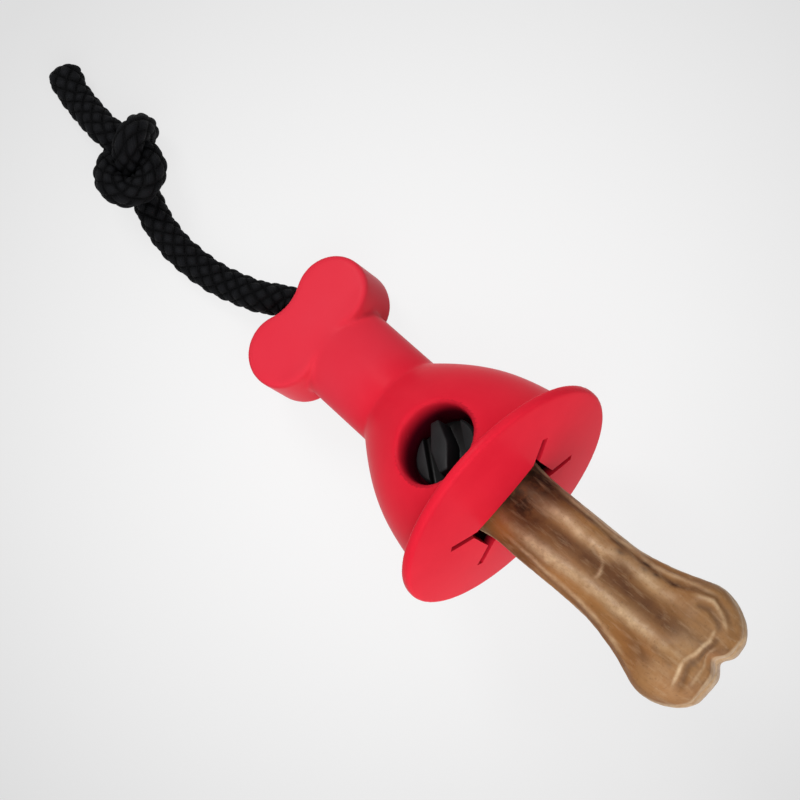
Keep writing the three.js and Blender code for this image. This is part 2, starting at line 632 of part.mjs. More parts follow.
function stopKnot() {
  const middle = STOP_KNOT_FRONT - STOP_KNOT_LENGTH / 2;
  const ball = new THREE.EllipseCurve(middle, 0, STOP_KNOT_LENGTH / 2, STOP_KNOT_RADIUS, 0, Math.PI);
  return turnedAboutX(ball.getPoints(KNOT_STEPS / 2).map((p) => [p.x, p.y]), KNOT_STEPS);
}

// How far the axis rises to the mouth when the flange's rim and the handle's end both lie on the floor
function lieAngle() {
  const flangeRim = FACE_RADIUS * Math.cos(Math.PI / TURN_STEPS);
  const apart = BODY_LENGTH - HANDLE_EDGE_RADIUS - FLANGE_THICKNESS + FLANGE_EDGE;
  const drop = flangeRim - HANDLE_THICKNESS / 2 + HANDLE_EDGE_RADIUS;
  const edges = HANDLE_EDGE_RADIUS - FLANGE_EDGE;
  return Math.atan2(drop, apart) - Math.asin(edges / Math.hypot(drop, apart));
}

// Assembly
const holder = new THREE.Group();
holder.rotation.y = -lieAngle();

const clamp = new THREE.Group();
clamp.position.set(-WINDOW_PLACE, 0, WINDOW_HEIGHT);
clamp.rotation.y = -WINDOW_TILT;
clamp.updateMatrix();
clamp.add(namedMesh('threaded_bush', threadedBush(), blackPlastic()));
clamp.add(namedMesh('clamp_screw', clampScrew(), blackPlastic()));
clamp.add(namedMesh('pressure_pad', pressurePad(clamp.matrix), blackPlastic()));

const chew = new THREE.Group();
chew.rotation.z = CHEW_YAW;
chew.position.set(-CHEW_INSERTED, 0, 0).applyAxisAngle(new THREE.Vector3(0, 0, 1), CHEW_YAW);
chew.position.y += CHEW_SIDE_SHIFT;
chew.add(namedMesh('rawhide_chew', rawhideChew(), rawhideBrown()));

const core = plainCylinderAboutX(ROPE_RADIUS, ROPE_EXIT_X + GAP, STEM_POCKET_BACK, ROPE_SIDES);
holder.add(namedMesh('body_shell', bodyShell(clamp.matrix), rubberRed()));
holder.add(...mouthFlaps(), clamp, chew);
holder.add(namedMesh('rope_core', core, blackRope()));
holder.add(namedMesh('rope_stop_knot', stopKnot(), blackRope()));

// The holder's lowest edges lie on the floor, with the middle of its box over the origin
const box = new THREE.Box3().setFromObject(holder, true);
const middle = box.getCenter(new THREE.Vector3());
holder.position.set(-middle.x, -middle.y, -box.min.z);
holder.updateMatrixWorld(true);

const exit = holder.localToWorld(new THREE.Vector3(ROPE_EXIT_X, 0, 0));
const rope = new THREE.Group();
rope.position.set(exit.x, exit.y, 0);
const straightOut = holder.localToWorld(new THREE.Vector3(ROPE_EXIT_X - ROPE_STRAIGHT_OUT, 0, 0)).sub(exit);
const runRoute = [[0, 0, exit.z], [straightOut.x, straightOut.y, exit.z + straightOut.z], ...ROPE_RUN];
const knotRoom = endKnot(GAP);
rope.add(namedMesh('rope_run', ropeTube(runRoute).subtract(knotRoom), blackRope()));
rope.add(namedMesh('rope_end_knot', endKnot(0), blackRope()));
rope.add(namedMesh('rope_tail', ropeTube(ROPE_TAIL).subtract(knotRoom), blackRope()));

const chewHolder = new THREE.Group();
chewHolder.add(holder, rope);

export default chewHolder;
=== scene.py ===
"""Dog chew holder: a rubber holder that clamps a pressed rawhide bone, with a knotted rope at its handle.

Metres, +Z up. The holder lies on its back on the floor with its mouth towards +X.
"""

import json
import math
from contextlib import contextmanager

import bmesh
import bpy
from bpy.props import FloatProperty, FloatVectorProperty, IntProperty, PointerProperty
from mathutils import Matrix, Vector, noise


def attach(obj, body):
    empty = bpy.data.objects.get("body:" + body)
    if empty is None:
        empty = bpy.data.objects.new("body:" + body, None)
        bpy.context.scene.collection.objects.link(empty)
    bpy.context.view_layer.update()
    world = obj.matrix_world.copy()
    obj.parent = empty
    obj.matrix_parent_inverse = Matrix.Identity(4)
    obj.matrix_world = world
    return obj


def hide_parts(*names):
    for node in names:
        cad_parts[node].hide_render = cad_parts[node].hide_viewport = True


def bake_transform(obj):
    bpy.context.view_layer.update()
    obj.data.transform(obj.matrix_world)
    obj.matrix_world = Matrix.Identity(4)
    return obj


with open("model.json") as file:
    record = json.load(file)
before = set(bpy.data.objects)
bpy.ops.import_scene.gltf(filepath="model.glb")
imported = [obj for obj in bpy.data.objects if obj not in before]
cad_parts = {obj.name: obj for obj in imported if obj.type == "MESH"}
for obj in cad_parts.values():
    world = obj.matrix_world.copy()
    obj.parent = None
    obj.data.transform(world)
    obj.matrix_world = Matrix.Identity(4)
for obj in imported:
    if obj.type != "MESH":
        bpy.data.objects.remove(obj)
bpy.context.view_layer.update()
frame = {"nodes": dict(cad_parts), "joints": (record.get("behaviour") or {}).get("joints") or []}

bl_info = {
    "name": "Dog Chew Holder",
    "version": (1, 0, 0),
    "blender": (4, 5, 0),
    "location": "View3D > Sidebar > Chew Holder",
    "description": "Builds a rubber chew holder with its clamp knob, rawhide bone and rope",
    "category": "Object",
}

# The small step between neighbours: the lips' pivots and the rim, stem and handle, inner and outer rope
GAP = 0.0003

# The holder's own axes, read from the joints: +X out of the mouth, +Z towards the knob's window
JOINTS = {joint["name"]: joint for joint in frame["joints"]}


def joint_point(name):
    return Vector(JOINTS[name]["pos_m"])


def axes(x, y, z, origin):
    """A matrix that takes a piece's own axes into the frame."""
    matrix = Matrix((x, y, z)).transposed().to_4x4()
    matrix.translation = origin
    return matrix


SIDE = Vector((0, 1, 0))
WINDOW_UP = Vector(JOINTS["flap_left_bend"]["axis"])
MOUTH_OUT = SIDE.cross(WINDOW_UP)
MOUTH = joint_point("flap_left_bend").lerp(joint_point("flap_right_bend"), 0.5) - GAP * MOUTH_OUT
HOLDER = axes(MOUTH_OUT, SIDE, WINDOW_UP, MOUTH)

CLAMP_UP = Vector(JOINTS["screw_turn"]["axis"])
CLAMP = axes(SIDE.cross(CLAMP_UP), SIDE, CLAMP_UP, joint_point("screw_turn"))
CLAMP_IN_HOLDER = HOLDER.inverted() @ CLAMP
HOLDER_TO_CLAMP = CLAMP_IN_HOLDER.inverted()

CHEW_OUT = Vector(JOINTS["chew_slide"]["axis"])
CHEW_SIDE = WINDOW_UP.cross(CHEW_OUT)


# Settings


def size_setting(name, description, metres):
    return FloatProperty(name=name, description=description, default=metres, unit="LENGTH")


def angle_setting(name, description, degrees):
    return FloatProperty(name=name, description=description, default=math.radians(degrees), subtype="ANGLE")


def colour_setting(name, description, linear):
    return FloatVectorProperty(name=name, description=description, default=linear, subtype="COLOR")


class RubberBodySettings(bpy.types.PropertyGroup):
    """Sizes and finish of the red moulding."""

    flange_radius: size_setting("Flange radius", "Radius of the round flange", 0.0387)
    flange_thickness: size_setting("Flange thickness", "Flange's thickness at its rim", 0.0032)
    flange_edge: size_setting("Flange edge", "Rounding of the flange's rim", 0.0008)
    face_crown: size_setting("Face crown", "Rise of the face at its middle", 0.0026)
    bell_front: size_setting("Bell front radius", "Bell's radius behind the flange", 0.0328)
    bell_length: size_setting("Bell length", "From the rim to the stem", 0.0446)
    stem_radius: size_setting("Stem radius", "Radius of the round stem", 0.015)
    stem_length: size_setting("Stem length", "From the bell to the handle", 0.0266)
    stem_round: size_setting("Stem end", "Length over which the stem sinks into the handle", 0.010)
    lobe_radius: size_setting("Lobe radius", "Radius of each handle lobe", 0.0115)
    lobe_spread: size_setting("Lobe spread", "Distance between the lobes' middles", 0.0226)
    lobe_place: size_setting("Lobe place", "From the rim back to the lobes' middles", 0.0819)
    notch_place: size_setting("Notch place", "From the rim back to the notch's floor", 0.0906)
    handle_thickness: size_setting("Handle thickness", "Thickness of the flat handle", 0.021)
    handle_edge: size_setting("Handle edge", "Rounding of the handle's edges", 0.0014)
    handle_crown: FloatProperty(
        name="Handle crown", description="Share of the thickness lost towards the outline", default=0.06)
    window_radius: size_setting("Window radius", "Radius of the knob's window", 0.0127)
    recess_radius: size_setting("Recess radius", "Radius of the recess round the knob", 0.0113)
    slot_width: size_setting("Slot width", "Width of the mouth's slot", 0.0284)
    slot_height: size_setting("Slot height", "Height of the mouth's slot", 0.0148)
    lip_thickness: size_setting("Lip thickness", "Lip's depth behind the rim", 0.001)
    slit_width: size_setting("Slit width", "Width of the corner slits", 0.0023)
    grain: size_setting("Mesh grain", "Facet size of the moulded surface", 0.0006)
    colour: colour_setting("Rubber", "Red of the rubber", (0.76, 0.0145, 0.0355))
    # Painted sheen: a paler red laid over the stem and handle for the light's reflection on their tops.
    painted_sheen: colour_setting("Faded rubber", "Red where hands rub it", (0.73, 0.038, 0.063))
    # Painted shade: the dark red laid in the recess round the knob and in the pocket behind the lips.
    shade: colour_setting("Deep rubber", "Red in the hollows", (0.048, 0.001, 0.006))


class ClampKnobSettings(bpy.types.PropertyGroup):
    """Sizes and finish of the clamp's black screw."""

    head_depth: size_setting("Head depth", "Knob's top below the window's rim", 0.0074)
    head_radius: size_setting("Head radius", "Knob's radius", 0.01)
    head_thickness: size_setting("Head thickness", "Knob's thickness", 0.003)
    channel_width: size_setting("Channel width", "Width of the channel for the fingers", 0.0128)
    channel_depth: size_setting("Channel depth", "Depth of the channel for the fingers", 0.0023)
    grip_length: size_setting("Grip length", "Length of the grip bar", 0.0174)
    grip_width: size_setting("Grip width", "Grip bar's width at its middle", 0.0068)
    grip_end: size_setting("Grip end", "Grip bar's width at its ends", 0.0034)
    grip_height: size_setting("Grip height", "Grip bar's rise over the knob", 0.0032)
    grip_turn: angle_setting("Grip turn", "Grip bar's angle on the knob", -29)
    core_radius: size_setting("Core radius", "Radius under the thread", 0.0036)
    crest_radius: size_setting("Crest radius", "Radius over the thread", 0.0049)
    pitch: size_setting("Pitch", "Rise of the thread in a turn", 0.003)
    thread_end: size_setting("Thread end", "Thread's end below the rim", 0.0162)
    neck_radius: size_setting("Neck radius", "Radius of the tip's neck", 0.0022)
    bulb_radius: size_setting("Bulb radius", "Radius of the tip's bulb", 0.0029)
    bulb_top: size_setting("Bulb top", "Bulb's top below the rim", 0.0185)
    bulb_bottom: size_setting("Bulb bottom", "Bulb's bottom below the rim", 0.02)
    colour: colour_setting("Plastic", "Black of the plastic", (0.0105, 0.0102, 0.0112))


class ChewSettings(bpy.types.PropertyGroup):
    """Sizes and finish of the pressed rawhide bone."""

    length: size_setting("Length", "Bone's length", 0.1155)
    inserted: size_setting("Inserted", "Bone's length behind the rim", 0.036)
    side_shift: size_setting("Side shift", "Bone's shift in the slot", 0.0006)
    shaft_width: size_setting("Shaft width", "Width at the middle", 0.0234)
    shaft_thickness: size_setting("Shaft thickness", "Thickness at the middle", 0.014)
    outer_width: size_setting("Outer knuckle width", "Width of the free knuckle", 0.037)
    outer_thickness: size_setting("Outer knuckle thickness", "Free knuckle's thickness", 0.019)
    inner_width: size_setting("Inner knuckle width", "Width of the held knuckle", 0.036)
    inner_thickness: size_setting("Inner knuckle thickness", "Held knuckle's thickness", 0.018)
    knuckle_peak: size_setting("Knuckle peak", "From an end to the widest place", 0.015)
    flare: size_setting("Flare", "Length over which a knuckle widens", 0.026)
    swell: size_setting("Swell", "Length over which a knuckle thickens", 0.009)
    tan: colour_setting("Tan", "Main colour of the hide", (0.295, 0.144, 0.05))
    # Brown is the hide's own brown in streaks and also the painted shade in the folds' grooves and hollows.
    brown: colour_setting("Brown", "Colour of the hollows", (0.088, 0.034, 0.0135))
    amber: colour_setting("Amber", "Colour of the thin, clear places", (0.31, 0.115, 0.028))
    # Pale is the colour of the pale creases and edges and also the painted highlight along the ridges.
    pale: colour_setting("Pale", "Colour of the creases and edges", (0.60, 0.415, 0.245))


class RopeSettings(bpy.types.PropertyGroup):
    """Sizes and finish of the braided rope."""

    diameter: size_setting("Diameter", "Rope's diameter", 0.01)
    exit_place: size_setting("Exit place", "From the rim back to the rope's exit", 0.0906)
    strands: IntProperty(
        name="Strands", description="Plaited strands each way round the rope", default=6)
    stitch: size_setting("Stitch", "Length of rope between strand crossings", 0.0026)
    pebble: size_setting("Pebble", "Rise of each strand crossing", 0.001)
    knot_share: FloatProperty(
        name="Share in the knot", description="Rope's thickness in the tight knot, as a share", default=0.96)
    sealed_end: size_setting("Sealed end", "Length of the round, melted end", 0.0036)
    stop_radius: size_setting("Stop knot radius", "Radius of the hidden knot", 0.0107)
    stop_length: size_setting("Stop knot length", "Length of the hidden knot", 0.018)
    stop_front: size_setting("Stop knot front", "From the rim back to the hidden knot", 0.0417)
    colour: colour_setting("Rope", "Black of the strands", (0.0008, 0.0008, 0.0012))
    # Painted highlight: the paler colour laid on the strands' tops.
    worn: colour_setting("Worn rope", "Strands' rubbed tops", (0.0085, 0.0088, 0.0105))


class StageSettings(bpy.types.PropertyGroup):
    """Floor, light and camera."""

    floor_middle: colour_setting("Floor middle", "Floor's colour at the object", (0.985, 0.983, 0.984))
    floor_edge: colour_setting("Floor edge", "Floor's colour at its edge", (0.745, 0.745, 0.747))
    aim: FloatVectorProperty(
        name="Aim", description="Point at the picture's middle", subtype="XYZ",
        default=(-0.0359, 0.00085, 0.03))
    distance: size_setting("Distance", "From the aim to the camera", 0.6461)
    azimuth: angle_setting("Azimuth", "Camera's direction round the object", 24.57)
    elevation: angle_setting("Elevation", "Camera's height angle", 81.13)
    roll: angle_setting("Roll", "Camera's turn about its view", 40.68)
    lens: FloatProperty(
        name="Lens", description="Focal length in millimetres", default=100.0)


# Shading


class Value:
    """A shader socket whose arithmetic adds Math nodes."""

    def __init__(self, finish, socket):
        self.finish = finish
        self.socket = socket

    def maths(self, operation, *values):
        return self.finish.node("ShaderNodeMath", {"operation": operation}, list(values))

    def __add__(self, other):
        return self.maths("ADD", self, other)

    def __radd__(self, other):
        return self.maths("ADD", other, self)

    def __sub__(self, other):
        return self.maths("SUBTRACT", self, other)

    def __rsub__(self, other):
        return self.maths("SUBTRACT", other, self)

    def __mul__(self, other):
        return self.maths("MULTIPLY", self, other)

    def __rmul__(self, other):
        return self.maths("MULTIPLY", other, self)

    def __pow__(self, other):
        return self.maths("POWER", self, other)


class Finish:
    """A material's node tree. node() adds any node and gives back one of its outputs."""

    def __init__(self, name):
        self.material = bpy.data.materials.new(name)
        self.material.use_nodes = True
        self.tree = self.material.node_tree
        self.tree.nodes.clear()

    def node(self, kind, settings=None, inputs=None, output=0):
        made = self.tree.nodes.new(kind)
        for name, value in (settings or {}).items():
            setattr(made, name, value)
        pairs = inputs.items() if isinstance(inputs, dict) else enumerate(inputs or [])
        for key, value in pairs:
            socket = made.inputs[key]
            if isinstance(value, Value):
                self.tree.links.new(value.socket, socket)
            elif socket.type == "RGBA" and len(value) == 3:
                socket.default_value = (*value, 1)
            else:
                socket.default_value = value
        return Value(self, made.outputs[output]) if made.outputs else None

    def place(self):
        return self.node("ShaderNodeTexCoord", output="Object")

    def stretched(self, vector, scale):
        return self.node("ShaderNodeMapping", inputs={"Vector": vector, "Scale": scale})

    def mask(self, name):
        return self.node("ShaderNodeAttribute", {"attribute_name": name}, output="Fac")

    def noise(self, scale, detail=3.0, roughness=0.55, vector=None):
        inputs = {
            "Vector": vector or self.place(),
            "Scale": scale,
            "Detail": detail,
            "Roughness": roughness,
        }
        return self.node("ShaderNodeTexNoise", inputs=inputs, output="Fac")

    def between(self, value, low, high, first=0.0, last=1.0):
        inputs = {"Value": value, "From Min": low, "From Max": high, "To Min": first, "To Max": last}
        return self.node("ShaderNodeMapRange", {"clamp": True}, inputs)

    def mixed(self, share, first, second):
        settings = {"data_type": "RGBA", "blend_type": "MIX"}
        return self.node("ShaderNodeMix", settings, {0: share, 6: first, 7: second}, output=2)

    def bump(self, height, distance, strength=1.0):
        inputs = {"Height": height, "Distance": distance, "Strength": strength}
        return self.node("ShaderNodeBump", inputs=inputs, output="Normal")

    def surface(self, **sockets):
        inputs = {name.replace("_", " "): value for name, value in sockets.items()}
        shader = self.node("ShaderNodeBsdfPrincipled", inputs=inputs, output="BSDF")
        self.node("ShaderNodeOutputMaterial", inputs={"Surface": shader})
        return self.material


def scaled(colour, share, lift=0.0):
    """A lighter or darker shade of a colour."""
    return tuple(min(1.0, share * part + lift) for part in colour)


def rubber_finish(settings):
    """Soft moulded red rubber with a faint bloom and a fine matt grain, a painted sheen on the stem and
    handle and painted shade in the hollows.
    """
    finish = Finish("red_rubber")
    cloud = finish.noise(38.0, 4.0)
    dust = finish.noise(420.0, 2.0, 0.6)
    grain = finish.noise(2600.0, 2.0)
    bloom = scaled(settings.colour, 1.05, 0.006)
    deep = scaled(settings.colour, 0.95)
    red = finish.mixed(finish.between(cloud, 0.3, 0.7), deep, bloom)
    # Painted sheen: the paler red over the stem and handle stands in for the light's reflection there.
    shiny = finish.mask("sheen_mask") * finish.between(cloud, 0.2, 0.8, 0.5, 1.0)
    red = finish.mixed(shiny, red, settings.painted_sheen)
    # Painted shade: the recess round the knob and the pocket behind the lips darken with depth.
    red = finish.mixed(finish.mask("hollow"), red, settings.shade)
    speck = finish.between(dust, 0.64, 0.8, 0.0, 0.10)
    red = finish.mixed(speck, red, (0.74, 0.06, 0.08))
    rough = finish.between(cloud, 0.3, 0.7, 0.30, 0.36) + 0.04 * (dust - 0.5)
    height = grain + 0.1 * dust
    return finish.surface(
        Base_Color=red,
        Roughness=rough,
        Normal=finish.bump(height, 0.00002, 0.12),
        IOR=1.09,
    )


def plastic_finish(settings):
    """Black moulded plastic with a spark-eroded grain, worn high places and painted shade below the knob's
    top.
    """
    finish = Finish("black_plastic")
    grain = finish.noise(1500.0, 3.0, 0.65)
    rub = finish.noise(260.0, 4.0)
    worn = scaled(settings.colour, 1.5, 0.002)
    black = finish.mixed(finish.between(rub, 0.45, 0.75, 0.0, 0.6), settings.colour, worn)
    # Painted shade: everything a little below the knob's top, the channel's floor and the disc's side, goes
    # nearly black.
    black = finish.mixed(finish.mask("groove"), black, scaled(settings.colour, 0.08))
    rough = finish.between(rub, 0.3, 0.7, 0.42, 0.54) + 0.08 * (grain - 0.5)
    return finish.surface(
        Base_Color=black,
        Roughness=rough,
        Normal=finish.bump(grain, 0.00005, 0.4),
        IOR=1.3,
    )


def rawhide_finish(settings):
    """Pressed rawhide: tan and brown under a waxy skin, with fibres along the bone and pale creases, painted
    shade in the folds' grooves and painted highlights along the ridges.
    """
    finish = Finish("rawhide")
    hide = finish.node("ShaderNodeAttribute", {"attribute_name": "hide"}, output="Vector")
    along = finish.stretched(hide, (70.0, 430.0, 300.0))
    fibre = finish.noise(1.6, 5.0, 0.62, along)
    streak = finish.noise(0.42, 3.0, 0.6, along)
    cloud = finish.noise(62.0, 5.0, 0.62, hide)
    mottle = finish.noise(330.0, 4.0, 0.65, hide)
    pits = finish.noise(1300.0, 3.0, 0.6, hide)
    base = finish.mixed(finish.between(cloud, 0.36, 0.72, 0.0, 0.4), settings.tan, settings.amber)
    base = finish.mixed(finish.between(streak, 0.42, 0.70, 0.0, 0.7), base, settings.brown)
    base = finish.mixed(finish.mask("amber"), base, settings.amber)
    # Painted shade: the dark mask browns the folds' grooves and the knuckle's hollow, with the wrinkled
    # patch, the spots and the bone near the mouth.
    dark = finish.mask("dark") * finish.between(mottle, 0.25, 0.7, 0.7, 1.2)
    base = finish.mixed(finish.between(dark, 0.0, 1.0), base, settings.brown)
    # The darkest places of the dark mask go darker still: the spots, the deepest painted shade and the bone
    # near the mouth.
    darkest = finish.between(finish.mask("dark"), 0.86, 1.0) * finish.between(mottle, 0.35, 0.6)
    base = finish.mixed(darkest, base, scaled(settings.brown, 0.35))
    # Painted highlight: the pale mask lightens the ridges and the sunlit patches, along with the pale
    # creases, walls and parting.
    pale = finish.mask("pale") * finish.between(mottle, 0.3, 0.65, 0.45, 1.2)
    base = finish.mixed(finish.between(pale, 0.0, 1.0), base, settings.pale)
    thread = finish.between(fibre, 0.52, 0.75, 0.0, 0.35)
    base = finish.mixed(thread, base, scaled(settings.pale, 0.85))
    freckle = finish.between(pits, 0.58, 0.76, 0.0, 0.35)
    base = finish.mixed(freckle, base, scaled(settings.brown, 0.6))
    rough = finish.between(cloud, 0.3, 0.7, 0.44, 0.54) + 0.2 * (fibre - 0.5)
    rough = rough + 0.25 * finish.mask("dark") - 0.2 * finish.mask("pale")
    height = fibre + 0.7 * mottle + 0.35 * pits
    return finish.surface(
        Base_Color=base,
        Roughness=rough,
        Normal=finish.bump(height, 0.00016, 0.6),
        IOR=1.26,
    )


def rope_finish(settings):
    """Black plaited rope: dull strands, paler on their tops as a painted highlight and so darker between the
    crossings, with filaments along each strand.
    """
    finish = Finish("black_rope")
    tops = finish.mask("strand_top")
    twist = finish.mask("filament")
    wave = finish.node("ShaderNodeMath", {"operation": "SINE"}, [twist * math.tau])
    fuzz = finish.noise(2100.0, 3.0, 0.65)
    # Painted highlight on the strands' tops, broken by the fuzz, which leaves the gaps between crossings
    # darker.
    worn = finish.between(tops, 0.45, 1.0) ** 1.6 * finish.between(fuzz, 0.3, 0.7, 0.5, 1.0)
    black = finish.mixed(worn, settings.colour, settings.worn)
    height = 0.5 * wave + 0.9 * fuzz
    return finish.surface(
        Base_Color=black,
        Roughness=finish.between(fuzz, 0.3, 0.7, 0.6, 0.8),
        Normal=finish.bump(height, 0.00012, 0.6),
        IOR=1.18,
    )


# Mesh helpers


def bezier(controls, steps):
    """Points along a Bezier curve, both ends included."""
    points = []
    for step in range(steps + 1):
        level = [Vector(c) for c in controls]
        while len(level) > 1:
            level = [a.lerp(b, step / steps) for a, b in zip(level, level[1:])]
        points.append(level[0])
    return points


def arc(centre, radius, start, end, steps):
    """Points on an arc in an outline's plane; angles in degrees."""
    angles = [math.radians(start + (end - start) * step / steps) for step in range(steps + 1)]
    return [Vector((centre[0] + radius * math.cos(a), centre[1] + radius * math.sin(a))) for a in angles]


def clean(bm):
    bmesh.ops.remove_doubles(bm, verts=bm.verts, dist=1e-6)
    bmesh.ops.recalc_face_normals(bm, faces=bm.faces)
    return bm


def only(kind, geometry):
    """The vertices or the edges of what an operator made."""
    return [part for part in geometry if isinstance(part, kind)]


def turned(outline, axis, steps):
    """Spins an outline of (along, radius) pairs about X or Z."""
    bm = bmesh.new()
    across = Vector((0, 0, 1)) if axis == "X" else Vector((1, 0, 0))
    along = Vector((1, 0, 0)) if axis == "X" else Vector((0, 0, 1))
    verts = [bm.verts.new(along * point[0] + across * point[1]) for point in outline]
    for pair in zip(verts, verts[1:]):
        bm.edges.new(pair)
    bmesh.ops.spin(
        bm, geom=bm.verts[:] + bm.edges[:], cent=(0, 0, 0), axis=along,
        angle=math.tau, steps=steps, use_merge=True)
    return clean(bm)


def slab(outline, low, high, axis):
    """Fills a flat outline and extrudes it between two levels along X or Z."""
    bm = bmesh.new()
    if axis == "X":
        verts = [bm.verts.new((low, a, b)) for a, b in outline]
    else:
        verts = [bm.verts.new((a, b, low)) for a, b in outline]
    face = bm.faces.new(verts)
    raised = bmesh.ops.extrude_face_region(bm, geom=[face])
    move = (high - low, 0, 0) if axis == "X" else (0, 0, high - low)
    bmesh.ops.translate(bm, verts=only(bmesh.types.BMVert, raised["geom"]), vec=move)
    return clean(bm)


def rounded(bm, edges, radius, segments=5):
    bmesh.ops.bevel(
        bm, geom=edges, offset=radius, offset_type="OFFSET", segments=segments,
        profile=0.5, affect="EDGES", material=-1, clamp_overlap=True)
    return bm


def as_object(bm, name, matrix=None, smooth=True):
    """Puts a bmesh into a new object at the origin, with the matrix applied to its mesh."""
    if matrix is not None:
        bmesh.ops.transform(bm, matrix=matrix, verts=bm.verts)
    for face in bm.faces:
        face.smooth = smooth
    mesh = bpy.data.meshes.new(name)
    bm.to_mesh(mesh)
    bm.free()
    obj = bpy.data.objects.new(name, mesh)
    bpy.context.scene.collection.objects.link(obj)
    return obj


def settle(obj):
    """Applies an object's modifiers to its mesh."""
    graph = bpy.context.evaluated_depsgraph_get()
    mesh = bpy.data.meshes.new_from_object(obj.evaluated_get(graph))
    obj.modifiers.clear()
    old = obj.data
    obj.data = mesh
    mesh.name = obj.name
    bpy.data.meshes.remove(old)
    return obj


def combine(obj, operation, *tools):
    """Adds, cuts or keeps the tools' shapes with Boolean modifiers, then removes the tools."""
    for tool in tools:
        modifier = obj.modifiers.new(tool.name, "BOOLEAN")
        modifier.operation = operation
        modifier.solver = "EXACT"
        modifier.object = tool
    settle(obj)
    for tool in tools:
        mesh = tool.data
        bpy.data.objects.remove(tool)
        bpy.data.meshes.remove(mesh)
    return obj


def remeshed(obj, size):
    modifier = obj.modifiers.new("moulded", "REMESH")
    modifier.mode = "VOXEL"
    modifier.voxel_size = size
    modifier.use_smooth_shade = True
    return settle(obj)


@contextmanager
def editing(obj):
    """Gives an object's mesh as a bmesh and writes it back."""
    bm = bmesh.new()
    bm.from_mesh(obj.data)
    yield bm
    bm.to_mesh(obj.data)
    bm.free()


def even_out(bm, verts, passes):
    """Smooths vertices, which rounds the edges and fills the corners among them."""
    for _ in range(passes):
        bmesh.ops.smooth_vert(
            bm, verts=verts, factor=0.5, use_axis_x=True, use_axis_y=True, use_axis_z=True)


def float_mask(obj, name, values):
    layer = obj.data.attributes.new(name, "FLOAT", "POINT")
    layer.data.foreach_set("value", values)


def dress(obj, material):
    obj.data.materials.clear()
    obj.data.materials.append(material)
    return obj


def within(value):
    return min(1.0, max(0.0, value))


def smooth_step(low, high, value):
    share = within((value - low) / (high - low))
    return share * share * (3 - 2 * share)


def hump(value, middle, reach):
    """1 at the middle, falling to 0 within a few reaches."""
    return math.exp(-((value - middle) / reach) ** 2)


# The holder's red moulding


def bell_outline(body):
    """Outline of the face, flange, bell and stem, from the middle of the face to the stem's end."""
    face_radius = body.flange_radius - body.flange_edge
    front, back = math.radians(11), math.radians(38)
    front_pull, back_pull = 0.016, 0.022
    front_x, front_y = front_pull * math.cos(front), front_pull * math.sin(front)
    back_x, back_y = back_pull * math.cos(back), back_pull * math.sin(back)
    stem_back = -body.bell_length - body.stem_length
    face = bezier([(body.face_crown, 0), (body.face_crown, face_radius / 2), (0, face_radius)], 24)
    rim = arc((-body.flange_edge, face_radius), body.flange_edge, 0, 90, 8)
    heel = arc((body.flange_edge - body.flange_thickness, face_radius), body.flange_edge, 90, 180, 8)
    bell = bezier(
        [
            (-body.flange_thickness, body.bell_front),
            (-body.flange_thickness - front_x, body.bell_front - front_y),
            (-body.bell_length + back_x, body.stem_radius + back_y),
            (-body.bell_length, body.stem_radius),
        ],
        40,
    )
    stem = bezier([(-body.bell_length, body.stem_radius), (stem_back, body.stem_radius)], 12)
    end = arc((0, 0), 1, 90, 180, 16)
    end = [Vector((stem_back + body.stem_round * p.x, body.stem_radius * p.y)) for p in end]
    return face + rim + heel + bell + stem[1:] + end[1:]


def draw_stem(bm, body):
    """Draws the stem down to the handle's thickness at its back and leaves its width."""
    back_half = body.handle_thickness / 2 + GAP
    for vert in bm.verts:
        share = within((-body.bell_length - vert.co.x) / body.stem_length)
        half = body.stem_radius + (back_half - body.stem_radius) * share ** 1.6
        vert.co.z *= half / body.stem_radius
    return bm


def handle_slab(body):
    """The bone-shaped handle: two round lobes with a soft notch and rounded edges."""
    side = body.lobe_spread / 2
    middle = -body.lobe_place
    reach = body.notch_place - body.lobe_place
    notch_radius = (reach ** 2 + side ** 2 - body.lobe_radius ** 2) / (2 * (body.lobe_radius - reach))
    notch = -body.notch_place - notch_radius
    lean = math.degrees(math.atan2(side, middle - notch))
    front = body.bell_length + body.stem_length
    shoulder = math.degrees(math.acos((body.lobe_place - front) / body.lobe_radius))
    upper = arc((middle, side), body.lobe_radius, -shoulder, 180 + lean, 40)
    hollow = arc((notch, 0), notch_radius, lean, -lean, 14)
    lower = arc((middle, -side), body.lobe_radius, 180 - lean, 360 + shoulder, 40)
    half = body.handle_thickness / 2
    bm = slab(upper + hollow[1:-1] + lower, -half, half, "Z")
    rims = [e for e in bm.edges if abs(e.verts[0].co.z - e.verts[1].co.z) < 1e-6]
    return rounded(bm, rims, body.handle_edge, 6)


def chew_pocket(body):
    """The pocket behind the lips, drawn in at its back."""
    side, half_height = 0.0198, 0.0117
    front, waist, back = -body.lip_thickness, -0.022, -0.0375
    left = bezier([(waist, side), (back + 0.0055, side - 0.0013), (back, 0.011)], 10)
    right = [Vector((p.x, -p.y)) for p in reversed(left)]
    outline = [Vector((front, side))] + left + right + [Vector((front, -side))]
    return slab(outline, -half_height, half_height, "Z")


def rod(back, front, radius, steps):
    """A round bar on the holder's axis."""
    return turned([(back, 0), (back, radius), (front, radius), (front, 0)], "X", steps)


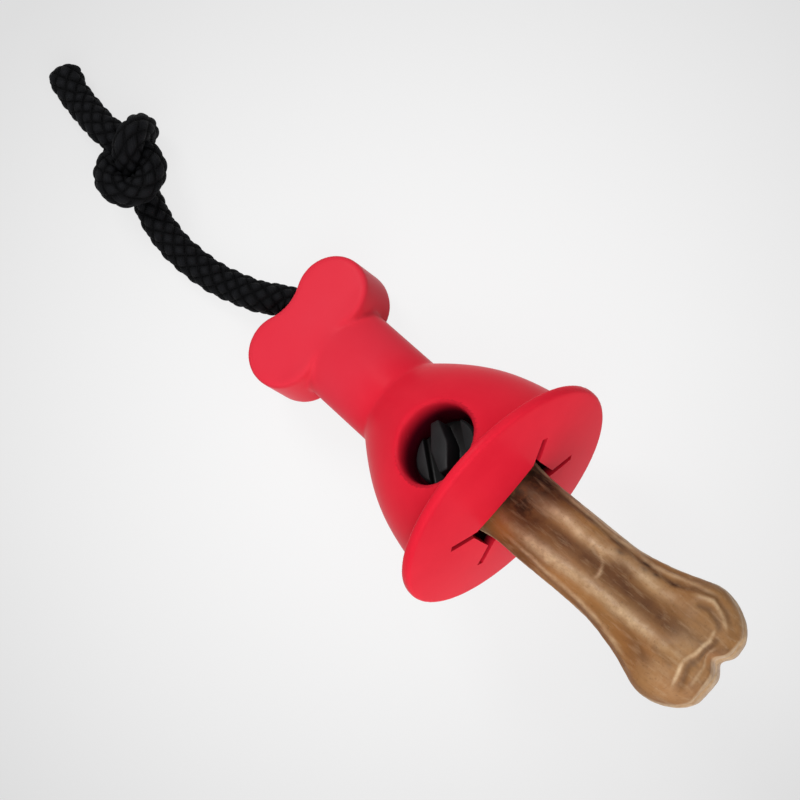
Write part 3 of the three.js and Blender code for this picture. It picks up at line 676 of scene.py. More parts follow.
def clamp_hollow(body):
    """The knob's round recess with its bush seat and the pad's well, as depths below the window's rim."""
    above, shoulder, floor, seat_floor, well_floor = 0.013, -0.0074, -0.0119, -0.0156, -0.0215
    seat_radius, well_radius = 0.0083, 0.0066
    outline = [
        (above, 0), (above, body.window_radius), (0, body.window_radius),
        (shoulder, body.recess_radius), (floor, body.recess_radius), (floor, seat_radius),
        (seat_floor, seat_radius), (seat_floor, well_radius), (well_floor, well_radius), (well_floor, 0),
    ]
    return turned(outline, "Z", 96)


# Half the width and height of the opening that the lips hang in, and how far a cutter stands in front of the
# face
ROOT_Y, ROOT_Z = 0.0195, 0.0114
CLEAR_OF_FACE = 0.006
# Each lip's body, whether it runs along the slot, and its side
FLAPS = {
    "mouth_flap_top": ("flap_top", True, 1),
    "mouth_flap_bottom": ("flap_bottom", True, -1),
    "mouth_flap_left": ("flap_left", False, 1),
    "mouth_flap_right": ("flap_right", False, -1),
}


def flap_outline(body, lengthwise):
    """A lip between the slot and its corner slits, as (side, up) corners."""
    slot_y, slot_z = body.slot_width / 2, body.slot_height / 2
    slit = math.hypot(ROOT_Y - slot_y, ROOT_Z - slot_z)
    if lengthwise:
        cut = body.slit_width / 2 * slit / (ROOT_Z - slot_z)
        tip, root = slot_y - cut, ROOT_Y - cut
        return [(tip, slot_z), (root, ROOT_Z), (-root, ROOT_Z), (-tip, slot_z)]
    cut = body.slit_width / 2 * slit / (ROOT_Y - slot_y)
    tip, root = slot_z - cut, ROOT_Z - cut
    return [(slot_y, tip), (slot_y, -tip), (ROOT_Y, -root), (ROOT_Y, root)]


def slit_ends(body):
    """Four blocks that end the corner slits squarely, a little outside the lips' roots."""
    bm = bmesh.new()
    depth, run = 0.010, 0.0034
    middle = Vector((0.001, 0.0190, 0.0110))
    lean = math.atan2(ROOT_Z - body.slot_height / 2, ROOT_Y - body.slot_width / 2)
    block = Matrix.Diagonal((depth, run, body.slit_width, 1))
    for across in (1, -1):
        for up in (1, -1):
            corner = Matrix.Translation((middle.x, across * middle.y, up * middle.z))
            turn = Matrix.Rotation(across * up * lean, 4, "X")
            bmesh.ops.create_cube(bm, size=1, matrix=corner @ turn @ block)
    return bm


def rubber_masks(obj, body):
    """How deep in a hollow each point lies, for painted shade, and how far it lies on the stem and handle,
    for a painted sheen.
    """
    to_holder = HOLDER.inverted()
    well_radius = body.window_radius + 0.0006
    well_front, pocket_back = -0.004, -0.028
    pocket_y, pocket_z = 0.0212, 0.0131
    hollow, sheen_mask = [], []
    for vert in obj.data.vertices:
        local = to_holder @ vert.co
        # Painted sheen: the stem and handle, fading in from the bell.
        sheen_mask.append(smooth_step(body.bell_length - 0.004, body.bell_length + 0.014, -local.x))
        in_clamp = HOLDER_TO_CLAMP @ local
        # Painted shade: depth in the knob's recess and in the pocket behind the lips.
        well = pocket = 0.0
        if in_clamp.xy.length < well_radius and local.x < well_front:
            well = smooth_step(0.0005, 0.0065, -in_clamp.z)
        if local.x > pocket_back and abs(local.y) < pocket_y and abs(local.z) < pocket_z:
            face = body.face_crown * (1 - local.yz.length_squared / body.flange_radius ** 2)
            pocket = smooth_step(0.0003, 0.0016, face - local.x)
        hollow.append(max(well, pocket))
    float_mask(obj, "hollow", hollow)
    float_mask(obj, "sheen_mask", sheen_mask)


class CHEWHOLDER_OT_rubber_body(bpy.types.Operator):
    """Moulds the red body and parts its four lips from the face"""

    bl_idname = "chewholder.rubber_body"
    bl_label = "Make Rubber Body"

    def execute(self, context):
        body = context.scene.rubber_body
        rubber = rubber_finish(body)
        moulding = as_object(draw_stem(turned(bell_outline(body), "X", 160), body), "rubber_body")
        combine(moulding, "UNION", as_object(handle_slab(body), "handle"))
        combine(
            moulding, "DIFFERENCE",
            as_object(chew_pocket(body), "pocket"),
            as_object(clamp_hollow(body), "clamp_hollow", CLAMP_IN_HOLDER),
            as_object(rod(-0.060, -0.0355, 0.0115, 64), "knot_pocket"),
            as_object(rod(-0.1, -0.05, 0.0053, 48), "rope_bore"),
        )
        remeshed(moulding, body.grain)
        with editing(moulding) as bm:
            even_out(bm, bm.verts, 4)
        self.crown_handle(moulding, body)
        self.round_window(moulding, body)
        lips = {}
        for name, (_, lengthwise, hand) in FLAPS.items():
            corners = [(hand * y, hand * z) for y, z in flap_outline(body, lengthwise)]
            lips[name] = moulding.copy()
            lips[name].data = moulding.data.copy()
            lips[name].name = name + "_lip"
            context.scene.collection.objects.link(lips[name])
            keep = as_object(slab(corners, -body.lip_thickness - 0.0006, CLEAR_OF_FACE, "X"), "keep")
            combine(lips[name], "INTERSECT", keep)
        mouth = [(ROOT_Y, ROOT_Z), (-ROOT_Y, ROOT_Z), (-ROOT_Y, -ROOT_Z), (ROOT_Y, -ROOT_Z)]
        combine(
            moulding, "DIFFERENCE",
            as_object(slab(mouth, -0.004, CLEAR_OF_FACE, "X"), "mouth"),
            as_object(slit_ends(body), "slit_ends"),
        )
        for name, (flap, lengthwise, hand) in FLAPS.items():
            self.finish_piece(lips[name], body, rubber)
            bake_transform(lips[name])
            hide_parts(name)
        self.finish_piece(moulding, body, rubber)
        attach(moulding, "holder")
        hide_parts("body_shell")
        return {"FINISHED"}

    @staticmethod
    def crown_handle(obj, body):
        """Bends the handle's two flat faces a little towards its outline."""
        half_width = body.lobe_spread / 2 + body.lobe_radius
        front = -body.bell_length - body.stem_length
        for vert in obj.data.vertices:
            lengthwise = (vert.co.x + body.lobe_place) / body.lobe_radius
            out = min(1.4, (vert.co.y / half_width) ** 2 + 0.5 * lengthwise ** 2)
            vert.co.z *= 1 - body.handle_crown * out * smooth_step(0, 0.006, front - vert.co.x)

    @staticmethod
    def round_window(obj, body):
        """Rounds the rim of the knob's window more than the other edges."""
        band, lowest, highest = 0.0018, -0.006, 0.012
        with editing(obj) as bm:
            rim = []
            for vert in bm.verts:
                spot = HOLDER_TO_CLAMP @ vert.co
                if abs(spot.xy.length - body.window_radius) < band and lowest < spot.z < highest:
                    rim.append(vert)
            even_out(bm, rim, 9)

    @staticmethod
    def finish_piece(obj, body, rubber):
        with editing(obj) as bm:
            bmesh.ops.transform(bm, matrix=HOLDER, verts=bm.verts)
            clean(bm)
        obj.data.shade_smooth()
        obj.data.set_sharp_from_angle(angle=math.radians(42))
        rubber_masks(obj, body)
        dress(obj, rubber)


# The clamp


def knob_head(knob):
    """The knob's disc with a channel for the fingers and a grip bar that stands in the channel."""
    top = -knob.head_depth
    bottom = top - knob.head_thickness
    edge = 0.0006
    disc = [
        (top, 0), (top, knob.head_radius - edge), (top - edge, knob.head_radius),
        (bottom + edge / 2, knob.head_radius), (bottom, knob.head_radius - edge / 2), (bottom, 0),
    ]
    head = as_object(turned(disc, "Z", 96), "clamp_knob")
    turn = Matrix.Rotation(knob.grip_turn, 4, "Z")
    half = knob.channel_width / 2
    length = knob.head_radius + 0.002
    channel = [(-length, -half), (length, -half), (length, half), (-length, half)]
    cutter = slab(channel, top - knob.channel_depth, top + 0.002, "Z")
    floor_edges = [e for e in cutter.edges if max(v.co.z for v in e.verts) < top]
    rounded(cutter, floor_edges, 0.0009, 4)
    combine(head, "DIFFERENCE", as_object(cutter, "channel", turn))
    end = knob.grip_length / 2
    wide, narrow = knob.grip_width / 2, knob.grip_end / 2
    right = [(-end, narrow), (-0.08 * end, wide), (0.08 * end, wide), (end, narrow)]
    left = [(x, -y) for x, y in reversed(right)]
    bar = slab(right + left, bottom + 0.0004, top + knob.grip_height, "Z")
    top_face = [f for f in bar.faces if f.normal.z > 0.9]
    bmesh.ops.scale(bar, vec=(0.97, 0.8, 1), verts=top_face[0].verts[:])
    rims = [e for e in bar.edges if max(v.co.z for v in e.verts) > top]
    rounded(bar, rims, 0.0005, 3)
    combine(head, "UNION", as_object(bar, "grip_bar", turn))
    bevel = head.modifiers.new("edges", "BEVEL")
    bevel.width = 0.00035
    bevel.segments = 2
    bevel.limit_method = "ANGLE"
    bevel.angle_limit = math.radians(38)
    return settle(head)


def screw_shank(knob):
    """A right-hand thread on a round core, with the tip that snaps into the pad."""
    top = -knob.head_depth - knob.head_thickness + 0.0004
    core = turned(
        [
            (top, 0), (top, knob.core_radius), (-knob.thread_end, knob.core_radius),
            (-knob.thread_end - 0.0003, knob.neck_radius), (-knob.bulb_top, knob.neck_radius),
            (-knob.bulb_top - 0.0001, knob.bulb_radius), (-knob.bulb_bottom + 0.0004, knob.bulb_radius),
            (-knob.bulb_bottom, knob.bulb_radius - 0.0005), (-knob.bulb_bottom, 0),
        ],
        "Z", 48)
    thread = bmesh.new()
    sunk = knob.core_radius - 0.0003
    start = -knob.head_depth - knob.head_thickness - 0.0012
    crest = knob.crest_radius
    corners = [(sunk, 0.00075), (crest, 0.00035), (crest, -0.00035), (sunk, -0.00075)]
    ring = [thread.verts.new((radius, 0, start + lift)) for radius, lift in corners]
    face = thread.faces.new(ring)
    steps = 36
    turns = (knob.thread_end - 0.0009 + start) / knob.pitch
    count = max(1, round(turns * steps))
    bmesh.ops.spin(
        thread, geom=[face], cent=(0, 0, 0), axis=(0, 0, 1), dvec=(0, 0, -knob.pitch / steps),
        angle=-math.tau * count / steps, steps=count, use_merge=False)
    clean(thread)
    return combine(as_object(core, "core"), "UNION", as_object(thread, "thread"))


class CHEWHOLDER_OT_clamp_knob(bpy.types.Operator):
    """Makes the black clamp screw and finishes the bush and pad that it works in"""

    bl_idname = "chewholder.clamp_knob"
    bl_label = "Make Clamp Knob"

    def execute(self, context):
        knob = context.scene.clamp_knob
        plastic = plastic_finish(knob)
        head = knob_head(knob)
        combine(head, "UNION", screw_shank(knob))
        # Painted shade: how far each point lies below the knob's top, which darkens the channel's floor and
        # the disc's side.
        groove = [smooth_step(0.0004, 0.0018, -knob.head_depth - vert.co.z) for vert in head.data.vertices]
        float_mask(head, "groove", groove)
        head.data.transform(CLAMP)
        head.data.shade_smooth()
        head.data.set_sharp_from_angle(angle=math.radians(30))
        dress(head, plastic)
        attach(head, "screw")
        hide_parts("clamp_screw")
        for name in ("threaded_bush", "pressure_pad"):
            dress(frame["nodes"][name], plastic)
        return {"FINISHED"}


# The rawhide bone


def knuckle_half(from_end, peak, knuckle, shaft, flare):
    """Half the bone's width or thickness at a distance from its end."""
    if from_end >= peak:
        rise = max(0.0, 1 - (from_end - peak) / flare)
        return (shaft + (knuckle - shaft) * rise ** 1.4) / 2
    curve = math.sqrt(max(0.0, 1 - (1 - from_end / peak) ** 2))
    return knuckle / 2 * (0.45 + 0.55 * curve)


def soft_half(from_end, *shape):
    """The half width or thickness without a hard line at the knuckle's widest place."""
    reach = min(0.0026, from_end / 2)
    steps = (-1, -0.6, -0.2, 0.2, 0.6, 1)
    return sum(knuckle_half(from_end + reach * step, *shape) for step in steps) / len(steps)


def squared(wave, power):
    return math.copysign(abs(wave) ** power, wave)


def from_line(point, line):
    """Distance from a point to a broken line, and the share of the line passed."""
    best, passed = 1e9, 0.0
    for index, (a, b) in enumerate(zip(line, line[1:])):
        run = b - a
        share = within((point - a).dot(run) / run.length_squared)
        away = (point - a - run * share).length
        if away < best:
            best, passed = away, (index + share) / (len(line) - 1)
    return best, passed


# Folds of the hide as (along, side) in millimetres from the held end: rise and width in millimetres, then
# how dark and how pale the fold is; the darkness is painted shade in grooves, the paleness painted highlight
# on ridges and pale hide on the knuckle's creases. On the upper side they are the seam with its edge, two
# ridges with a valley between them, a crease over one ridge, the far knuckle's rolled layers and the other
# edge's groove
HIDE_FOLDS = [
    (
        [(34, 10.2), (46, 10.5), (63, 10.6), (73, 10.1), (82, 10.4), (91, 11), (97, 13), (102, 14.6)],
        -0.6, 0.9, 0.8, 0,
    ),
    ([(36, 12.2), (50, 12.1), (70, 11.6), (84, 12.3), (96, 15.6), (103, 17)], -0.3, 0.6, 0.35, 0),
    ([(34, 11.4), (51, 11.3), (71, 10.9), (84, 11.4), (97, 14.6), (104, 16.2)], 0.15, 0.6, 0, 0.6),
    (
        [(36, 4.8), (45, 5.1), (58, 5.7), (67, 5.7), (73, 6.4), (83, 7.3), (90, 7.2), (97, 8.2)],
        0.8, 2.1, 0, 0.8,
    ),
    (
        [(36, -4.9), (47, -5.1), (60, -5.2), (69, -4.3), (79, -3.9), (90, -3.9), (98, -3.8), (107, -3.9)],
        0.9, 2.1, 0, 0.95,
    ),
    (
        [(34, 0.6), (42, 1.4), (54, 1.4), (63, 1.4), (78, 1.6), (87, 1.7), (97, 1.9), (103, 2.4), (108, 2.8)],
        -0.75, 2.8, 0.75, 0,
    ),
    ([(66, 5.2), (69, 3.9), (71.4, 2.6), (72.2, 0.4), (72.2, -2.4)], -0.25, 0.65, 0.7, 0),
    ([(67.6, 5.9), (70.4, 4.6), (72.6, 2.9), (73.4, 0.6), (73.4, -2.2)], 0.1, 0.55, 0, 0.8),
    ([(88, 11.2), (97, 13.6), (103, 15.6), (108, 14.2), (112, 11.4)], -0.5, 0.7, 0.55, 0),
    ([(98, 11.8), (103.3, 14), (108.6, 12.4), (111.5, 9.9)], 0.2, 0.75, 0, 0.85),
    ([(100, 10), (104, 11.6), (108, 10.6), (111, 8)], -0.45, 0.8, 0.6, 0),
    ([(108.8, 8.8), (109.8, 5.2), (109, 0.2), (107.6, -3.4), (108.8, -7.6), (109.8, -13)], 0.14, 0.7, 0, 1),
    (
        [(110.4, 8), (111.3, 5), (110.7, 0.4), (109.5, -3.2), (110.8, -7.6), (111.6, -12)],
        -0.75, 0.8, 0.7, 0,
    ),
    ([(112.4, 5.7), (112.9, 0), (112.9, -4.6), (113.2, -8.5)], -0.4, 0.7, 0.2, 0.5),
    ([(98, -3.4), (104, -3.6), (108, -3.6)], 0.12, 0.7, 0, 0.8),
    ([(98, -5.4), (103, -6.2), (107, -7.4)], -0.4, 0.9, 0.4, 0),
    ([(38, -9.4), (53, -10), (73, -10.6), (86, -12.8), (95, -15.6), (101, -17)], -0.3, 0.8, 0.3, 0),
    ([(38, -8.2), (53, -8.7), (73, -9.1), (86, -11), (95, -13.2)], 0.12, 0.8, 0, 0.55),
    ([(80, -5.6), (88, -6.6), (96, -8.8), (103, -11.6)], -0.3, 1, 0.3, 0),
]
HELD_FOLDS = [
    ([(4, 1), (14, 2), (26, 1), (36, 0.8)], -1.1, 2.6, 0.55, 0),
    ([(6, 8), (20, 7), (38, 5)], 0.7, 2.2, 0, 0.3),
    ([(6, -8), (20, -6), (38, -4.3)], 0.7, 2.2, 0, 0.3),
]
UNDER_FOLDS = [
    ([(10, -3), (34, -1.5), (60, 0.5), (86, 1.5), (106, 4)], -1, 2.6, 0.55, 0),
    ([(8, 7), (34, 5.4), (62, 5.6), (90, 7), (108, 10)], 0.75, 2.2, 0, 0.3),
    ([(8, -9), (36, -6.4), (64, -5.6), (92, -7), (106, -10)], 0.8, 2.2, 0, 0.3),
    ([(2, 2), (10, -1), (18, -5)], -0.6, 0.9, 0.3, 0.4),
    ([(114, 2), (106, -1), (98, -4)], -0.6, 0.9, 0.3, 0.4),
    ([(100, 8), (106, 9), (111, 6)], -0.5, 0.9, 0.4, 0.3),
]
# Patches of the upper side: the middle, the reach along and the reach across, in metres
WRINKLES = ((0.078, 0.0048), 0.0062, 0.0026)
# Painted shade: a dark patch in the hollow near the far knuckle.
SHADED_HOLLOW = ((0.088, 0.0014), 0.012, 0.0034)
AMBER_GLOW = ((0.043, -0.0078), 0.0085, 0.0042)
SUNLIT = [((0.105, 0.0), 0.004, 0.004), ((0.105, -0.011), 0.006, 0.004)]
SPOTS = [
    ((0.0743, 0.0082), 0.0017, 0.0011),
    ((0.0829, 0.0088), 0.0017, 0.0011),
    ((0.0862, 0.0098), 0.0017, 0.0011),
]
# The seam round the bone's walls and the parting in its ends: the middle, the reach and the depth
SEAM, SEAM_REACH, SEAM_DEPTH = 0.0012, 0.0007, 0.0004
PARTING, PARTING_REACH, PARTING_DEPTH = 0.0018, 0.0024, 0.0025
# Noise vectors start from the clock unless they are seeded, and the folds waver by them
WAVER_SEED = 1


def metres(folds):
    """Folds in metres: line, rise, width, darkness, paleness and the corners of the box that they reach."""
    made = []
    for line, rise, width, dark, pale in folds:
        points = [Vector(point) / 1000 for point in line]
        reach = Vector((3, 3)) * width / 1000
        low = Vector(map(min, *points)) - reach
        high = Vector(map(max, *points)) + reach
        made.append((points, rise / 1000, width / 1000, dark, pale, low, high))
    return made


def fold_effect(spot, folds):
    """Rise, darkness and paleness at a spot from all the folds near it."""
    rise = dark = pale = 0.0
    for line, fold_rise, width, fold_dark, fold_pale, low, high in folds:
        if low.x < spot.x < high.x and low.y < spot.y < high.y:
            away, passed = from_line(spot, line)
            ease = smooth_step(0, 0.12, passed) * (1 - smooth_step(0.78, 1, passed))
            share = hump(away, 0, width) * (0.1 + 0.9 * ease)
            narrow = hump(1.2 * away, 0, width) * (0.2 + 0.8 * ease)
            rise += fold_rise * share
            dark = max(dark, fold_dark * share)
            pale = max(pale, fold_pale * narrow)
    return rise, dark, pale


def blot(spot, middle, along, across):
    """A soft round patch, from 1 at its middle to 0."""
    return math.exp(-(((spot.x - middle[0]) / along) ** 2 + ((spot.y - middle[1]) / across) ** 2))


def chew_section(chew, along, sides):
    """The bone's plain ring at a distance along it."""
    inner = along < chew.length / 2
    from_end = along if inner else chew.length - along
    width = chew.inner_width if inner else chew.outer_width
    thickness = chew.inner_thickness if inner else chew.outer_thickness
    half_width = soft_half(from_end, chew.knuckle_peak, width, chew.shaft_width, chew.flare)
    half_thickness = soft_half(from_end, chew.knuckle_peak, thickness, chew.shaft_thickness, chew.swell)
    ring = []
    for side in range(sides):
        angle = math.tau * side / sides
        y = half_width * squared(math.cos(angle), 0.8)
        z = half_thickness * squared(math.sin(angle), 0.7)
        ring.append(Vector((along, y, z)))
    return ring


def lofted(rings):
    """Extrudes a ring from station to station and closes both ends."""
    bm = bmesh.new()
    start = [bm.verts.new(point) for point in rings[0]]
    ring = [bm.edges.new(pair) for pair in zip(start, start[1:] + start[:1])]
    verts = start
    for points in rings[1:]:
        grown = bmesh.ops.extrude_edge_only(bm, edges=ring)["geom"]
        ring = only(bmesh.types.BMEdge, grown)
        place = {tuple(v.co): i for i, v in enumerate(verts)}
        verts = sorted(only(bmesh.types.BMVert, grown), key=lambda v: place[tuple(v.co)])
        for vert, point in zip(verts, points):
            vert.co = point
    bmesh.ops.contextual_create(bm, geom=start)
    bmesh.ops.contextual_create(bm, geom=verts)
    bmesh.ops.recalc_face_normals(bm, faces=bm.faces)
    return bm


def chew_rings(chew, sides):
    """The bone's rings from end to end, with smaller rings that close each end as a low dome."""
    dome = 0.0006
    stations = 290
    rings = []
    for step in range(stations + 1):
        share = step / stations
        eased = 0.35 * (1 - math.cos(math.pi * share)) / 2 + 0.65 * share
        rings.append(chew_section(chew, dome + (chew.length - 2 * dome) * eased, sides))
    for ring, end, hand in ((rings[0], 0.0, 1), (rings[-1], chew.length, -1)):
        closing = []
        for share in (0.84, 0.66, 0.48, 0.3, 0.12):
            place = end + hand * dome * share ** 2
            closing.append([Vector((place, share * point.y, share * point.z)) for point in ring])
        rings = closing[::-1] + rings if hand > 0 else rings + closing
    return rings


class CHEWHOLDER_OT_rawhide_chew(bpy.types.Operator):
    """Makes the pressed rawhide bone with its folds"""

    bl_idname = "chewholder.rawhide_chew"
    bl_label = "Make Rawhide Chew"

    def execute(self, context):
        chew = context.scene.rawhide_chew
        bm = lofted(chew_rings(chew, 168))
        masks = self.fold(bm, chew)
        hide = [axis for vert in bm.verts for axis in vert.co]
        inner_end = HOLDER @ Vector((0, chew.side_shift, 0)) - CHEW_OUT * chew.inserted
        obj = as_object(bm, "chew_bone", axes(CHEW_OUT, CHEW_SIDE, WINDOW_UP, inner_end))
        for name, values in masks.items():
            float_mask(obj, name, values)
        obj.data.attributes.new("hide", "FLOAT_VECTOR", "POINT").data.foreach_set("vector", hide)
        obj.data.shade_smooth()
        dress(obj, rawhide_finish(chew))
        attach(obj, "chew")
        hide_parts("rawhide_chew")
        return {"FINISHED"}

    @staticmethod
    def fold(bm, chew):
        """Sculpts the folds into the plain bone and gives the masks that its colours follow, among them
        painted shade in the grooves and hollows and painted highlights on the ridges.
        """
        upper = metres(HIDE_FOLDS + HELD_FOLDS)
        under = metres(UNDER_FOLDS)
        noise.seed_set(WAVER_SEED)
        bm.normal_update()
        moves = []
        masks = {"dark": [], "pale": [], "amber": []}
        for vert in bm.verts:
            place, facing = vert.co, vert.normal.z
            waver = 0.0005 * noise.noise_vector(place * 100) + 0.0002 * noise.noise_vector(place * 420)
            spot = (place + waver).xy
            uneven = 0.85 + 0.5 * noise.noise(place * 150)
            patchy = 0.5 + 0.5 * noise.noise(place * 190)
            on_top = smooth_step(0, 0.3, facing)
            weight = smooth_step(0.05, 0.5, abs(facing))
            wall = 1 - smooth_step(0.1, 0.5, abs(facing))
            far_half = place.x > chew.length / 2
            from_end = chew.length - place.x if far_half else place.x
            rise, dark, pale = fold_effect(spot, upper if facing >= 0 else under)

            wrinkled = on_top * blot(spot, *WRINKLES)
            seam = hump(place.z, SEAM, SEAM_REACH) * (1 - smooth_step(0.2, 0.6, abs(facing)))
            parting = hump(place.y, PARTING, PARTING_REACH) * (1 - smooth_step(0.0, 0.006, from_end))
            lump = 0.00018 * noise.fractal(place * 110, 0.7, 2.2, 4)
            lump += 0.0003 * wrinkled * noise.noise(place * 800)
            move = vert.normal * (weight * rise * uneven - SEAM_DEPTH * seam + lump)
            move.x += (-PARTING_DEPTH if far_half else PARTING_DEPTH) * parting
            moves.append(move)

            black = sunlit = 0.0
            if facing > 0:
                black = max(blot(spot, *patch) for patch in SPOTS)
                sunlit = 0.2 * max(blot(spot, *patch) for patch in SUNLIT)
                sunlit += 0.15 * patchy * smooth_step(0.088, 0.110, place.x)
            glow = blot(spot, *AMBER_GLOW)
            # Painted shade in the knuckle's hollow and the folds' grooves, and a darkening near the mouth,
            # join the real wrinkles and spots in the dark mask.
            hollow = 0.8 * on_top * blot(spot, *SHADED_HOLLOW)
            near_mouth = 1 - smooth_step(0.043, 0.065, place.x)
            folded = weight * dark * (0.6 + 0.8 * patchy)
            shade = max(folded, 0.82 * wrinkled, black, hollow, near_mouth * (1 - glow))
            # The pale mask: painted highlight along the ridges and in the sunlit patches, with paler walls
            # and the parting.
            ridge = weight * uneven * pale * (0.25 + 0.75 * smooth_step(0.042, 0.054, place.x))
            light = max(ridge, wall * (0.4 + 0.5 * patchy), sunlit) + 0.35 * parting * patchy
            lower_side = 0.5 * smooth_step(0.004, 0.008, -place.y) * patchy
            masks["dark"].append(min(1.0, shade))
            masks["pale"].append(min(1.0, light) * (1 - 0.85 * wrinkled))
            masks["amber"].append(min(1.0, max(0.9 * glow, lower_side) + 0.75 * parting))
        for vert, move in zip(bm.verts, moves):
            vert.co += move
        return masks


# The rope

# Distance between the rings of the free rope's tube
ROPE_STEP = 0.00038
# The free rope's route from its exit over the floor, as (x, y) from the exit and height, in millimetres
RUN = [
    (0, 0, 10.5), (-5, 0, 8.9), (-13.4, -4.6, 7.9), (-20, -7, 6.3), (-26.7, -8.9, 5.4),
    (-32.6, -9.8, 5.1), (-38.6, -10.1, 5.1), (-44.2, -9.9, 5.1), (-49.2, -9, 5.2), (-53.6, -7.8, 5.4),
]
TAIL = [
    (-84, 3.4, 8.8), (-91, 3.9, 6.8), (-96.3, 4.6, 5.4), (-101, 5.6, 5.1), (-105, 7.2, 5.1),
    (-109.2, 9.3, 5.1),
]
# An overhand knot, as (across, along, height) from the floor under its middle
KNOT_MIDDLE = (-70.1, 0.4, 0)
KNOT_HEADING = math.radians(130.5)
KNOT = [
    (4.6, -11.6, 5.4), (3.1, -8.4, 5.2), (1.6, -4.6, 6), (0.2, -1.4, 9.6), (0.2, 1.8, 14.2),
    (0.8, 5.4, 17.2), (2.2, 9.1, 15.8), (3.2, 11.2, 11.2), (2.7, 10.4, 6.6), (-0.4, 8.4, 5),
    (-3.8, 5.6, 5), (-6.4, 1.8, 7.4), (-6.8, -2.6, 11.2), (-4.6, -6.8, 14), (0.2, -8.9, 14.8),
    (5, -7, 14.4), (7.1, -2.4, 12.8), (5.4, 2, 10.6), (1.2, 5.2, 9.6), (-2.6, 7.4, 9.8),
]


def smooth_route(points, spacing):
    """Even points along a smooth curve through the given ones, with each point's place among them."""
    fine, steps = [], 24
    ends = [points[0] * 2 - points[1], *points, points[-1] * 2 - points[-2]]
    for index in range(1, len(ends) - 2):
        a, b, c, d = ends[index - 1:index + 3]
        for step in range(steps):
            t = step / steps
            bend = (2 * a - 5 * b + 4 * c - d) * t ** 2
            twist = (3 * b - a - 3 * c + d) * t ** 3
            fine.append((0.5 * (2 * b + (c - a) * t + bend + twist), index - 1 + t))
    fine.append((points[-1], len(points) - 1.0))
    even, carried = [fine[0]], 0.0
    for (p, at), (q, to) in zip(fine, fine[1:]):
        length = (q - p).length
        while carried + length >= spacing:
            share = (spacing - carried) / length
            p, at = p.lerp(q, share), at + (to - at) * share
            even.append((p, at))
            length, carried = (q - p).length, 0.0
        carried += length
    return even


def route_frames(route):
    """A steady pair of cross directions at each point of a route."""
    frames = []
    normal = Vector((0, 0, 1))
    for index, point in enumerate(route):
        ahead = route[min(index + 1, len(route) - 1)] - route[max(index - 1, 0)]
        ahead.normalize()
        normal = (normal - ahead * normal.dot(ahead)).normalized()
        frames.append((normal, ahead.cross(normal)))
    return frames


def plait(around, along, strands, stitch):
    """Height of a plaited surface from 0 to 1, and the place across the strand on top."""
    turn = strands * around / math.tau
    run = along / stitch / 2
    first, second = turn + run, turn - run
    cell = (math.floor(first) + math.floor(second)) % 2
    across, length = (first, second) if cell else (second, first)
    a = 2 * (across - math.floor(across)) - 1
    b = 2 * (length - math.floor(length)) - 1
    crown = math.sqrt(1 - a * a) * math.sqrt(1 - 0.85 * b * b)
    return crown, a


def braided_tube(route, radii, rope, around):
    """A braided tube along a route, with masks for the strands' tops and filaments."""
    rings, tops, filaments = [], [], []
    travelled = 0.0
    for index, (point, (normal, side)) in enumerate(zip(route, route_frames(route))):
        travelled += (point - route[index - 1]).length if index else 0.0
        ring = []
        for step in range(around):
            angle = math.tau * step / around
            crown, across = plait(angle, travelled, rope.strands, rope.stitch)
            radius = radii[index] - min(rope.pebble, 0.3 * radii[index]) * (0.92 - crown)
            ring.append(point + normal * radius * math.cos(angle) + side * radius * math.sin(angle))
            tops.append(crown)
            filaments.append(3.0 * across)
        rings.append(ring)
    return rings, tops, filaments


def rope_piece(name, rings, tops, filaments, material):
    obj = as_object(lofted(rings), name)
    spare = len(obj.data.vertices) - len(tops)
    float_mask(obj, "strand_top", tops + [0.5] * spare)
    float_mask(obj, "filament", filaments + [0.0] * spare)
    return dress(obj, material)


